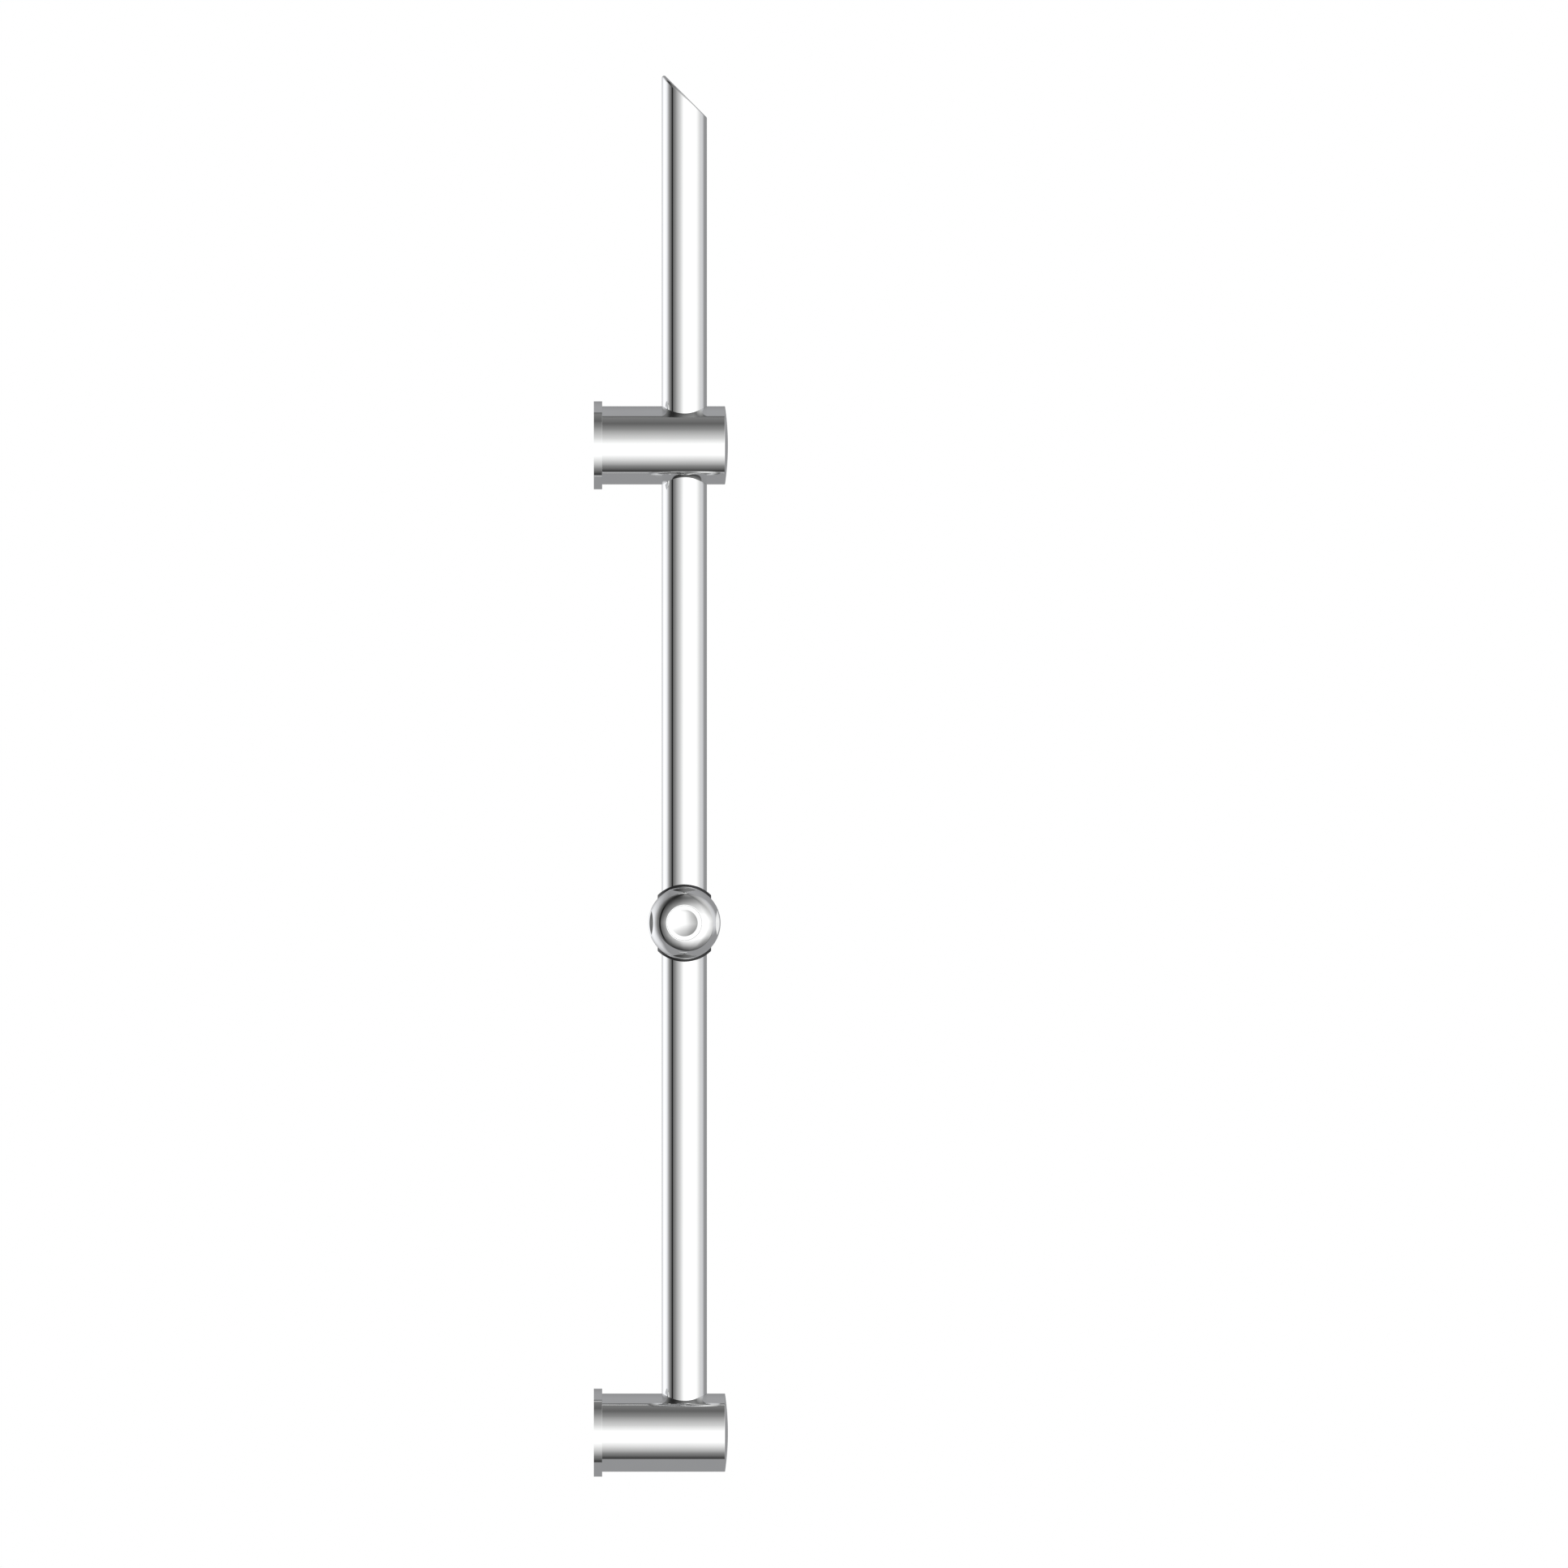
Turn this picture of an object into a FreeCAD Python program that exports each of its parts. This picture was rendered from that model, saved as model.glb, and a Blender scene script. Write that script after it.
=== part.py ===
import FreeCAD, Part
import os
import Sketcher
from FreeCAD import Rotation, Vector

# Shower slide rail, in millimetres.
# The wall is the plane X = 0, +X points into the room and +Z points up.
# The origin is the middle of the lower bracket's wall face. The clamp knob points along -Y.

doc = FreeCAD.newDocument("shower_slide_rail")

SIZES = {
    # Rail
    "rail_diameter": 22.0,
    "rail_wall": 1.2,
    "rail_offset": 44.25,
    "rail_foot": 12.0,
    "rail_rise": 171.1,
    "rail_top_angle": 45.0,
    # Cap on the slanted top of the rail
    "end_plate_thickness": 3.0,
    "end_edge_radius": 1.1,
    "end_plug_length": 12.0,
    "end_plug_wall": 2.0,
    "end_plug_fit": 0.05,
    # Brackets
    "bracket_spacing": 482.2,
    "bracket_diameter": 38.2,
    "bracket_wall": 3.0,
    "bracket_nose": 19.85,
    "bracket_dome": 1.4,
    "bracket_edge_break": 0.3,
    "web_thickness": 9.0,
    "rail_fit": 0.05,
    "rail_floor_gap": 0.2,
    # Wall plates
    "flange_overhang": 2.4,
    "flange_thickness": 4.1,
    "flange_edge_break": 0.12,
    "spigot_wall": 2.5,
    "spigot_fit": 0.05,
    "spigot_end_gap": 2.0,
    "wall_screw_hole": 5.2,
    "wall_screw_head": 9.2,
    "wall_screw_head_room": 1.45,
    # Set screws
    "body_lock_diameter": 5.0,
    "body_lock_angle": 25.0,
    "body_lock_key": 2.5,
    "body_lock_sink": 0.4,
    "body_lock_dimple": 1.0,
    "rail_lock_diameter": 6.0,
    "rail_lock_key": 3.0,
    "rail_lock_length": 8.0,
    "lock_key_depth": 2.2,
    "lock_chamfer": 0.6,
    "lock_fit": 0.03,
    "lock_tip_gap": 0.04,
    # Slider body, bushes and clamp sleeve
    "slider_height": 248.9,
    "slider_diameter": 35.3,
    "slider_length": 44.0,
    "slider_chamfer_width": 2.8,
    "slider_chamfer_depth": 2.15,
    "slider_edge_radius": 2.0,
    "bush_wall": 2.0,
    "bush_running_fit": 0.08,
    "bush_seat_fit": 0.02,
    "bush_proud": 1.25,
    "bush_bead_height": 0.5,
    "bush_bead_width": 1.6,
    "bush_bead_setback": 2.4,
    "sleeve_length": 12.0,
    "sleeve_wall": 1.9,
    "sleeve_running_fit": 0.06,
    "sleeve_end_gap": 0.15,
    "sleeve_slit": 2.0,
    # Clamp knob, screw, pad and cap
    "knob_gap": 0.4,
    "knob_diameter": 35.3,
    "knob_skirt": 4.6,
    "knob_nose_radius": 12.3,
    "knob_face_ring": 0.45,
    "knob_back_chamfer": 0.5,
    "scallop_radius": 24.2,
    "scallop_depth": 2.35,
    "scallop_count": 4,
    "scallop_edge_radius": 0.4,
    "clamp_screw_diameter": 8.0,
    "clamp_screw_fit": 0.05,
    "clamp_head_diameter": 13.0,
    "clamp_head_height": 7.0,
    "clamp_head_gap": 0.2,
    "clamp_head_fit": 0.05,
    "clamp_key": 6.0,
    "clamp_key_depth": 4.0,
    "clamp_tip_diameter": 4.5,
    "clamp_tip_length": 1.4,
    "pad_thickness": 3.0,
    "pad_fit": 0.05,
    "pad_contact_gap": 0.04,
    "cap_diameter": 16.9,
    "cap_thickness": 2.6,
    "cap_plug_length": 2.0,
    "cap_plug_bore": 9.0,
    "cap_fit": 0.05,
    "dimple_diameter": 13.0,
    "dimple_radius": 20.6,
    # Handset holder and its pivot
    "cup_top_bore": 23.5,
    "cup_foot_bore": 20.8,
    "cup_wall": 2.05,
    "cup_height": 21.6,
    "cup_edge_radius": 0.5,
    "hose_slot": 15.5,
    "boss_diameter": 20.0,
    "boss_wall": 7.0,
    "washer_diameter": 20.0,
    "washer_thickness": 1.0,
    "washer_face_gap": 0.04,
    "pivot_diameter": 6.0,
    "pivot_fit": 0.05,
    "pivot_depth": 7.5,
    "pivot_head_diameter": 10.0,
    "pivot_head_height": 3.0,
    "pivot_head_sink": 0.7,
    "pivot_head_room": 0.5,
    "pivot_key": 4.0,
    "pivot_key_depth": 1.8,
    "spring_thickness": 0.5,
    "spring_height": 0.9,
}

sheet = doc.addObject("Spreadsheet::Sheet", "Sizes")
for line, (alias, value) in enumerate(SIZES.items(), start=1):
    sheet.set(f"A{line}", alias)
    sheet.set(f"B{line}", str(value))
    sheet.setAlias(f"B{line}", alias)
doc.recompute()

# Places and sizes that follow from the sheet
rail_radius = "(Sizes.rail_diameter / 2)"
rail_inner_radius = f"({rail_radius} - Sizes.rail_wall)"
rail_bore_radius = f"({rail_radius} + Sizes.rail_fit)"
top_slope = "tan(Sizes.rail_top_angle * 1 deg)"
top_middle = "(Sizes.bracket_spacing + Sizes.rail_rise)"
end_plate_rise = "(Sizes.end_plate_thickness / cos(Sizes.rail_top_angle * 1 deg))"
end_plug_radius = f"({rail_inner_radius} - Sizes.end_plug_fit)"
end_plug_foot = f"({top_middle} - {end_plate_rise} - {rail_radius} * {top_slope} - Sizes.end_plug_length)"

bracket_radius = "(Sizes.bracket_diameter / 2)"
bracket_rim = "(Sizes.rail_offset + Sizes.bracket_nose)"
dome_radius = f"(({bracket_radius}^2 + Sizes.bracket_dome^2) / (2 * Sizes.bracket_dome))"
web_front = f"(Sizes.rail_offset - {rail_bore_radius})"
socket_end = f"({web_front} - Sizes.web_thickness)"
socket_radius = f"({bracket_radius} - Sizes.bracket_wall)"
spigot_radius = f"({socket_radius} - Sizes.spigot_fit)"
spigot_inner_radius = f"({spigot_radius} - Sizes.spigot_wall)"
spigot_end = f"({socket_end} - Sizes.spigot_end_gap)"
wall_screw_place = f"({spigot_inner_radius} - Sizes.wall_screw_head_room - Sizes.wall_screw_head / 2)"
flange_radius = f"({bracket_radius} + Sizes.flange_overhang)"
body_lock_place = f"((Sizes.flange_thickness + {spigot_end}) / 2)"
body_lock_sine = "sin(Sizes.body_lock_angle * 1 deg)"
body_lock_cosine = "cos(Sizes.body_lock_angle * 1 deg)"
body_lock_tip = f"({spigot_radius} - Sizes.body_lock_dimple + Sizes.lock_tip_gap)"
body_lock_head = f"({bracket_radius} - Sizes.body_lock_sink)"
rail_lock_tip = f"(Sizes.rail_offset - {rail_radius} - Sizes.lock_tip_gap)"

slider_radius = "(Sizes.slider_diameter / 2)"
slider_end = "(Sizes.slider_length / 2)"
bush_inner_radius = f"({rail_radius} + Sizes.bush_running_fit)"
bush_radius = f"({bush_inner_radius} + Sizes.bush_wall)"
bush_seat_radius = f"({bush_radius} + Sizes.bush_seat_fit)"
bush_inner_end = "(Sizes.sleeve_length / 2 + Sizes.sleeve_end_gap)"
bush_reach = f"({slider_radius} + Sizes.bush_proud)"
bead_low = f"({bush_inner_end} + Sizes.bush_bead_setback)"
bead_high = f"({bead_low} + Sizes.bush_bead_width)"
sleeve_inner_radius = f"({rail_radius} + Sizes.sleeve_running_fit)"
sleeve_radius = f"({sleeve_inner_radius} + Sizes.sleeve_wall)"

clamp_screw_radius = "(Sizes.clamp_screw_diameter / 2)"
clamp_hole_radius = f"({clamp_screw_radius} + Sizes.clamp_screw_fit)"
clamp_head_radius = "(Sizes.clamp_head_diameter / 2)"
clamp_head_bore = f"({clamp_head_radius} + Sizes.clamp_head_fit)"
knob_radius = "(Sizes.knob_diameter / 2)"
knob_back = f"({slider_end} + Sizes.knob_gap)"
nose_start = f"({knob_back} + Sizes.knob_skirt)"
cap_radius = "(Sizes.cap_diameter / 2)"
cap_recess_radius = f"({cap_radius} + Sizes.cap_fit)"
nose_centre = f"({knob_radius} - Sizes.knob_nose_radius)"
knob_face_radius = f"({cap_recess_radius} + Sizes.knob_face_ring)"
knob_face = f"({nose_start} + sqrt(Sizes.knob_nose_radius^2 - ({knob_face_radius} - {nose_centre})^2))"
cap_seat = f"({knob_face} - Sizes.cap_thickness)"
clamp_head_top = f"({cap_seat} - Sizes.cap_plug_length - Sizes.clamp_head_gap)"
clamp_head_seat = f"({clamp_head_top} - Sizes.clamp_head_height)"
pad_radius = f"({clamp_hole_radius} - Sizes.pad_fit)"
pad_face_radius = f"({sleeve_radius} + Sizes.pad_contact_gap)"
pad_back = f"({pad_face_radius} + Sizes.pad_thickness)"
clamp_screw_end = f"({pad_back} + Sizes.pad_contact_gap)"
clamp_tip_end = f"({clamp_screw_end} - Sizes.clamp_tip_length)"
dimple_depth = "(Sizes.dimple_radius - sqrt(Sizes.dimple_radius^2 - (Sizes.dimple_diameter / 2)^2))"

cup_top_radius = "(Sizes.cup_top_bore / 2)"
cup_foot_radius = "(Sizes.cup_foot_bore / 2)"
cup_middle_radius = f"(({cup_top_radius} + {cup_foot_radius}) / 2)"
cup_half_height = "(Sizes.cup_height / 2)"
washer_front = f"({slider_end} + Sizes.washer_thickness)"
boss_face = f"({washer_front} + Sizes.washer_face_gap)"
cup_axis = f"({boss_face} + Sizes.boss_wall + {cup_middle_radius})"
pivot_radius = "(Sizes.pivot_diameter / 2)"
pivot_bore_radius = f"({pivot_radius} + Sizes.pivot_fit)"
pivot_head_radius = "(Sizes.pivot_head_diameter / 2)"
pivot_head_top = f"({boss_face} + Sizes.boss_wall - Sizes.pivot_head_sink)"
pivot_head_seat = f"({pivot_head_top} - Sizes.pivot_head_height)"
spring_seat = f"({pivot_head_seat} - Sizes.spring_height)"
pivot_room_radius = f"({pivot_head_radius} + Sizes.pivot_head_room)"
pivot_end = f"({slider_end} - Sizes.pivot_depth)"


def size(expression):
    """Present value of an expression on the sheet, in millimetres."""
    return float(sheet.evalExpression(expression))


def new_body(label, x="0", y="0", z="0", rotation=None, angle=None):
    """Empty body whose own origin lies at the given place of the rail, turned by an angle where given."""
    body = doc.addObject("PartDesign::Body", label)
    body.Label = label
    if rotation:
        body.Placement.Rotation = rotation
    if angle:
        body.setExpression("Placement.Rotation.Angle", f"{angle} * 1 deg")
    for axis, expression in (("x", x), ("y", y), ("z", z)):
        body.setExpression(f"Placement.Base.{axis}", expression)
    return body


def new_sketch(body, name, role, height="0", lean=None):
    """Empty sketch on one of the body's origin planes, leant about X and lifted along its own normal."""
    sketch = body.newObject("Sketcher::SketchObject", f"{body.Name}_{name}")
    support = next(f for f in body.Origin.OriginFeatures if f.Role == role)
    sketch.AttachmentSupport = (support, [""])
    sketch.MapMode = "FlatFace"
    if lean:
        sketch.AttachmentOffset = FreeCAD.Placement(Vector(), Rotation(Vector(1, 0, 0), size(lean)))
        sketch.setExpression("AttachmentOffset.Rotation.Angle", f"{lean} * 1 deg")
        sketch.setExpression("AttachmentOffset.Base.y", f"-({height}) * sin({lean} * 1 deg)")
        sketch.setExpression("AttachmentOffset.Base.z", f"({height}) * cos({lean} * 1 deg)")
    else:
        sketch.setExpression("AttachmentOffset.Base.z", height)
    return sketch


def pin(sketch, curve, point, x, y):
    """Fix one point of a curve at the place that two expressions give."""
    for kind, axis, expression in (("DistanceX", -2, x), ("DistanceY", -1, y)):
        if expression == "0":
            sketch.addConstraint(Sketcher.Constraint("PointOnObject", curve, point, axis))
        else:
            rule = Sketcher.Constraint(kind, -1, 1, curve, point, size(expression))
            index = sketch.addConstraint(rule)
            sketch.setExpression(f"Constraints[{index}]", expression)


def circle(sketch, radius, x="0", y="0"):
    """Circle with its radius and middle given as expressions."""
    middle = Vector(size(x), size(y), 0)
    curve = sketch.addGeometry(Part.Circle(middle, Vector(0, 0, 1), size(radius)), False)
    index = sketch.addConstraint(Sketcher.Constraint("Radius", curve, size(radius)))
    sketch.setExpression(f"Constraints[{index}]", radius)
    pin(sketch, curve, 3, x, y)


def arc_between(start, end, radius, bend):
    """Short arc from start to end; bend is +1 where it bends to the left and -1 to the right."""
    chord = end - start
    side = Vector(-chord.y, chord.x, 0).normalize() * bend
    middle = (start + end) / 2 + side * (radius**2 - (chord.Length / 2) ** 2) ** 0.5
    whole = Part.Circle(middle, Vector(0, 0, 1), radius)
    ends = (start, end) if bend > 0 else (end, start)
    return Part.ArcOfCircle(whole, *(whole.parameter(point) for point in ends))


def outline(sketch, corners, arcs=None):
    """Closed outline through corners given as pairs of expressions.

    arcs maps a corner's index to (radius, bend) where the stretch after it is round.
    """
    arcs = arcs or {}
    count = len(corners)
    first = sketch.GeometryCount
    points = [Vector(size(x), size(y), 0) for x, y in corners]
    starts = [1] * count
    ends = [2] * count
    for index, start in enumerate(points):
        end = points[(index + 1) % count]
        if index in arcs:
            radius, bend = arcs[index]
            sketch.addGeometry(arc_between(start, end, size(radius), bend), False)
            if bend < 0:
                starts[index], ends[index] = 2, 1
        else:
            sketch.addGeometry(Part.LineSegment(start, end), False)
    for index, (x, y) in enumerate(corners):
        curve = first + index
        after = (index + 1) % count
        sketch.addConstraint(
            Sketcher.Constraint("Coincident", curve, ends[index], first + after, starts[after])
        )
        pin(sketch, curve, starts[index], x, y)
    for index, (radius, bend) in arcs.items():
        rule = sketch.addConstraint(Sketcher.Constraint("Radius", first + index, size(radius)))
        sketch.setExpression(f"Constraints[{rule}]", radius)


def hexagon(sketch, across_flats):
    """Hexagon round the sketch's origin."""
    corner = f"({across_flats} / sqrt(3))"
    outline(sketch, [(f"{corner} * cos({a} deg)", f"{corner} * sin({a} deg)") for a in range(30, 390, 60)])


def turn(body, name, axis, corners, role, arcs=None, kind="Revolution"):
    """Turned or grooved feature from an outline beside an axis of its sketch."""
    sketch = new_sketch(body, f"{name}_outline", role)
    outline(sketch, corners, arcs)
    feature = body.newObject(f"PartDesign::{kind}", f"{body.Name}_{name}")
    feature.Profile = sketch
    feature.ReferenceAxis = (sketch, [axis])
    feature.Angle = 360
    doc.recompute()
    return feature


def extrude(body, kind, name, sketch, length, both=False, reverse=False):
    """Pad or Pocket of a sketch by a length, to both sides of its plane where asked."""
    feature = body.newObject(f"PartDesign::{kind}", f"{body.Name}_{name}")
    feature.Profile = sketch
    feature.SideType = "Symmetric" if both else "One side"
    feature.Reversed = reverse
    feature.setExpression("Length", length)
    doc.recompute()
    return feature


def dress(body, kind, name, measure, chosen):
    """Fillet or Chamfer on the edges of the present tip that the test picks."""
    base = body.Tip
    edges = enumerate(base.Shape.Edges, start=1)
    names = [f"Edge{i}" for i, edge in edges if not edge.Degenerated and chosen(edge)]
    feature = body.newObject(f"PartDesign::{kind}", f"{body.Name}_{name}")
    feature.Base = (base, names)
    feature.setExpression("Radius" if kind == "Fillet" else "Size", measure)
    doc.recompute()
    return feature


def is_circle(edge, radius, axis=None, place=None):
    """True for a round edge of that radius, at that place along the given axis."""
    if not hasattr(edge.Curve, "Radius") or abs(edge.Curve.Radius - size(radius)) > 1e-4:
        return False
    return place is None or abs(getattr(edge.Curve.Center, axis) - size(place)) < 1e-4


def is_slot_edge(edge):
    """True for an edge of the hose slot that runs from the cup's foot to its top, or across its wall."""
    half = size("Sizes.hose_slot / 2")
    return all(abs(abs(vertex.Y) - half) < 1e-4 and vertex.X > 0 for vertex in edge.Vertexes)


def slanted_outline(sketch, middle, top):
    """Area between the slanted line through middle on the rail's axis and a level line at top."""
    reach = "Sizes.rail_diameter"
    rise = f"{reach} * {top_slope}"
    outline(
        sketch,
        [
            (f"-{reach}", f"{middle} + {rise}"),
            (reach, f"{middle} - {rise}"),
            (reach, top),
            (f"-{reach}", top),
        ],
    )


def rail_tube():
    """Tube from the lower bracket to the slanted seat of its end cap."""
    body = new_body("rail_tube", x="Sizes.rail_offset")
    seat = f"({top_middle} - {end_plate_rise})"
    top = f"({seat} + 2 * Sizes.rail_diameter * {top_slope})"
    ring = new_sketch(body, "ring", "XY_Plane", "-Sizes.rail_foot")
    circle(ring, rail_radius)
    circle(ring, rail_inner_radius)
    extrude(body, "Pad", "blank", ring, f"{top} + Sizes.rail_foot")
    slant = new_sketch(body, "slant", "XZ_Plane")
    slanted_outline(slant, seat, f"{top} + Sizes.rail_diameter")
    extrude(body, "Pocket", "mitre", slant, "2 * Sizes.rail_diameter", both=True)


def rail_end_cap():
    """Slanted plate as wide as the rail, its edge rounded, with a hollow plug below it."""
    body = new_body("rail_end_cap", x="Sizes.rail_offset")
    seat = f"({top_middle} - {end_plate_rise})"
    crest = f"({top_middle} + 2 * Sizes.rail_diameter * {top_slope})"
    reach = "Sizes.rail_diameter"
    rise = f"{reach} * {top_slope}"
    slab = new_sketch(body, "slab", "XZ_Plane")
    outline(
        slab,
        [
            (f"-{reach}", f"{seat} + {rise}"),
            (reach, f"{seat} - {rise}"),
            (reach, f"{top_middle} - {rise}"),
            (f"-{reach}", f"{top_middle} + {rise}"),
        ],
    )
    extrude(body, "Pad", "plate", slab, "2 * Sizes.rail_diameter", both=True)
    rim = new_sketch(body, "rim", "XY_Plane", f"{top_middle} - 2 * {rise}")
    circle(rim, rail_radius)
    circle(rim, "3 * Sizes.rail_diameter")
    extrude(body, "Pocket", "round_rim", rim, f"4 * {rise}", reverse=True)
    plug = new_sketch(body, "plug_circle", "XY_Plane", end_plug_foot)
    circle(plug, end_plug_radius)
    extrude(body, "Pad", "plug", plug, f"{crest} - {end_plug_foot}")
    slant = new_sketch(body, "slant", "XZ_Plane")
    slanted_outline(slant, top_middle, f"{crest} + Sizes.rail_diameter")
    extrude(body, "Pocket", "face", slant, "2 * Sizes.rail_diameter", both=True)
    core = new_sketch(body, "core_circle", "XY_Plane", end_plug_foot)
    circle(core, f"{end_plug_radius} - Sizes.end_plug_wall")
    extrude(body, "Pocket", "core", core, "Sizes.end_plug_length", reverse=True)
    face_height = size(top_middle)
    dress(
        body,
        "Fillet",
        "soft_edge",
        "Sizes.end_edge_radius",
        lambda e: e.Curve.TypeId == "Part::GeomEllipse"
        and abs(e.Curve.MinorRadius - size(rail_radius)) < 1e-4
        and abs(e.Curve.Center.z - face_height) < 1e-4,
    )


def bracket_body(label, height, rail_length_below):
    """Turned bracket with a domed end, a socket for the wall plate and a bore for the rail."""
    body = new_body(label, z=height)
    turn(
        body,
        "turned",
        "H_Axis",
        [
            ("Sizes.flange_thickness", socket_radius),
            ("Sizes.flange_thickness", bracket_radius),
            (bracket_rim, bracket_radius),
            (f"{bracket_rim} + Sizes.bracket_dome", "0"),
            (socket_end, "0"),
            (socket_end, socket_radius),
        ],
        "XY_Plane",
        arcs={2: (dome_radius, -1)},
    )
    dress(
        body,
        "Fillet",
        "soft_rim",
        "Sizes.bracket_edge_break",
        lambda e: is_circle(e, bracket_radius, "x", bracket_rim),
    )
    bore = new_sketch(body, "rail_bore_circle", "XY_Plane", f"-{rail_length_below}")
    circle(bore, rail_bore_radius, x="Sizes.rail_offset")
    extrude(
        body, "Pocket", "rail_bore", bore, f"{rail_length_below} + Sizes.bracket_diameter", reverse=True
    )
    web = new_sketch(body, "rail_lock_circle", "YZ_Plane")
    circle(web, "Sizes.rail_lock_diameter / 2 + Sizes.lock_fit")
    extrude(body, "Pocket", "rail_lock_hole", web, "Sizes.rail_offset", reverse=True)
    lock = new_sketch(body, "body_lock_circle", "XY_Plane", lean="Sizes.body_lock_angle")
    circle(lock, "Sizes.body_lock_diameter / 2 + Sizes.lock_fit", x=body_lock_place)
    extrude(body, "Pocket", "body_lock_hole", lock, "Sizes.bracket_diameter")


def wall_plate(label, height):
    """Flange on the wall with a hollow spigot and two countersunk wall-screw holes."""
    body = new_body(label, z=height)
    turn(
        body,
        "turned",
        "H_Axis",
        [
            ("0", "0"),
            ("0", flange_radius),
            ("Sizes.flange_thickness", flange_radius),
            ("Sizes.flange_thickness", spigot_radius),
            (spigot_end, spigot_radius),
            (spigot_end, spigot_inner_radius),
            ("Sizes.flange_thickness", spigot_inner_radius),
            ("Sizes.flange_thickness", "0"),
        ],
        "XY_Plane",
    )
    dress(
        body,
        "Fillet",
        "soft_flange",
        "Sizes.flange_edge_break",
        lambda e: is_circle(e, flange_radius, "x", "Sizes.flange_thickness"),
    )
    screws = new_sketch(body, "wall_screw_circles", "YZ_Plane")
    for side in ("-1", "1"):
        circle(screws, "Sizes.wall_screw_hole / 2", y=f"{side} * {wall_screw_place}")
    extrude(body, "Pocket", "wall_screw_holes", screws, "Sizes.flange_thickness", reverse=True)
    dress(
        body,
        "Chamfer",
        "countersinks",
        "(Sizes.wall_screw_head - Sizes.wall_screw_hole) / 2",
        lambda e: is_circle(e, "Sizes.wall_screw_hole / 2", "x", "Sizes.flange_thickness"),
    )
    floor = f"Sizes.body_lock_dimple - {spigot_radius}"
    dimple = new_sketch(body, "lock_dimple_circle", "XY_Plane", floor, "Sizes.body_lock_angle")
    circle(dimple, "Sizes.body_lock_diameter / 2 + Sizes.lock_fit", x=body_lock_place)
    extrude(body, "Pocket", "lock_dimple", dimple, spigot_radius)


def set_screw(label, radius, length, key, **place):
    """Socket set screw along its own Z axis, with its tip at the given place."""
    body = new_body(label, **place)
    turn(
        body,
        "turned",
        "V_Axis",
        [
            ("0", "0"),
            (f"{radius} - Sizes.lock_chamfer", "0"),
            (radius, "Sizes.lock_chamfer"),
            (radius, f"{length} - Sizes.lock_chamfer"),
            (f"{radius} - Sizes.lock_chamfer", length),
            ("0", length),
        ],
        "XZ_Plane",
    )
    socket = new_sketch(body, "socket_outline", "XY_Plane", length)
    hexagon(socket, key)
    extrude(body, "Pocket", "socket", socket, "Sizes.lock_key_depth")


def bracket(side, height, rail_length_below):
    """One bracket: body, wall plate and its two set screws."""
    bracket_body(f"{side}_bracket_body", height, rail_length_below)
    wall_plate(f"{side}_wall_plate", height)
    set_screw(
        f"{side}_body_lock_screw",
        "(Sizes.body_lock_diameter / 2)",
        f"({body_lock_head} - {body_lock_tip})",
        "Sizes.body_lock_key",
        x=body_lock_place,
        y=f"{body_lock_tip} * {body_lock_sine}",
        z=f"{height} - {body_lock_tip} * {body_lock_cosine}",
        rotation=Rotation(Vector(1, 0, 0), 180),
        angle="(180 + Sizes.body_lock_angle)",
    )
    set_screw(
        f"{side}_rail_lock_screw",
        "(Sizes.rail_lock_diameter / 2)",
        "Sizes.rail_lock_length",
        "Sizes.rail_lock_key",
        x=rail_lock_tip,
        z=height,
        rotation=Rotation(Vector(0, 1, 0), -90),
    )


def slider_part(label, **place):
    """Empty body whose origin is where the slider's axis crosses the rail's."""
    return new_body(label, x="Sizes.rail_offset", z="Sizes.slider_height", **place)


def slider_body():
    """Cross body with chamfered ends, the rail's bore, two bead grooves and a screw hole at each end."""
    body = slider_part("slider_body")
    end_radius = f"({slider_radius} - Sizes.slider_chamfer_width)"
    shoulder = f"({slider_end} - Sizes.slider_chamfer_depth)"
    turn(
        body,
        "bar",
        "V_Axis",
        [
            ("0", f"-{slider_end}"),
            (end_radius, f"-{slider_end}"),
            (slider_radius, f"-{shoulder}"),
            (slider_radius, shoulder),
            (end_radius, slider_end),
            ("0", slider_end),
        ],
        "XY_Plane",
    )
    dress(
        body,
        "Fillet",
        "soft_ends",
        "Sizes.slider_edge_radius",
        lambda e: is_circle(e, slider_radius),
    )
    bore = new_sketch(body, "rail_bore_circle", "XY_Plane")
    circle(bore, bush_seat_radius)
    extrude(body, "Pocket", "rail_bore", bore, "2 * Sizes.slider_diameter", both=True)
    groove_radius = f"({bush_seat_radius} + Sizes.bush_bead_height)"
    for name, sign in (("upper_bead_groove", ""), ("lower_bead_groove", "-")):
        low = f"{sign}({bead_low} - Sizes.bush_seat_fit)"
        high = f"{sign}({bead_high} + Sizes.bush_seat_fit)"
        turn(
            body,
            name,
            "V_Axis",
            [
                (rail_radius, low),
                (groove_radius, low),
                (groove_radius, high),
                (rail_radius, high),
            ],
            "XZ_Plane",
            kind="Groove",
        )
    clamp = new_sketch(body, "clamp_hole_circle", "XZ_Plane")
    circle(clamp, clamp_hole_radius)
    extrude(body, "Pocket", "clamp_hole", clamp, "Sizes.slider_length", reverse=True)
    pivot = new_sketch(body, "pivot_hole_circle", "XZ_Plane", f"-{pivot_end}")
    circle(pivot, pivot_bore_radius)
    extrude(body, "Pocket", "pivot_hole", pivot, "Sizes.pivot_depth")


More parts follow.
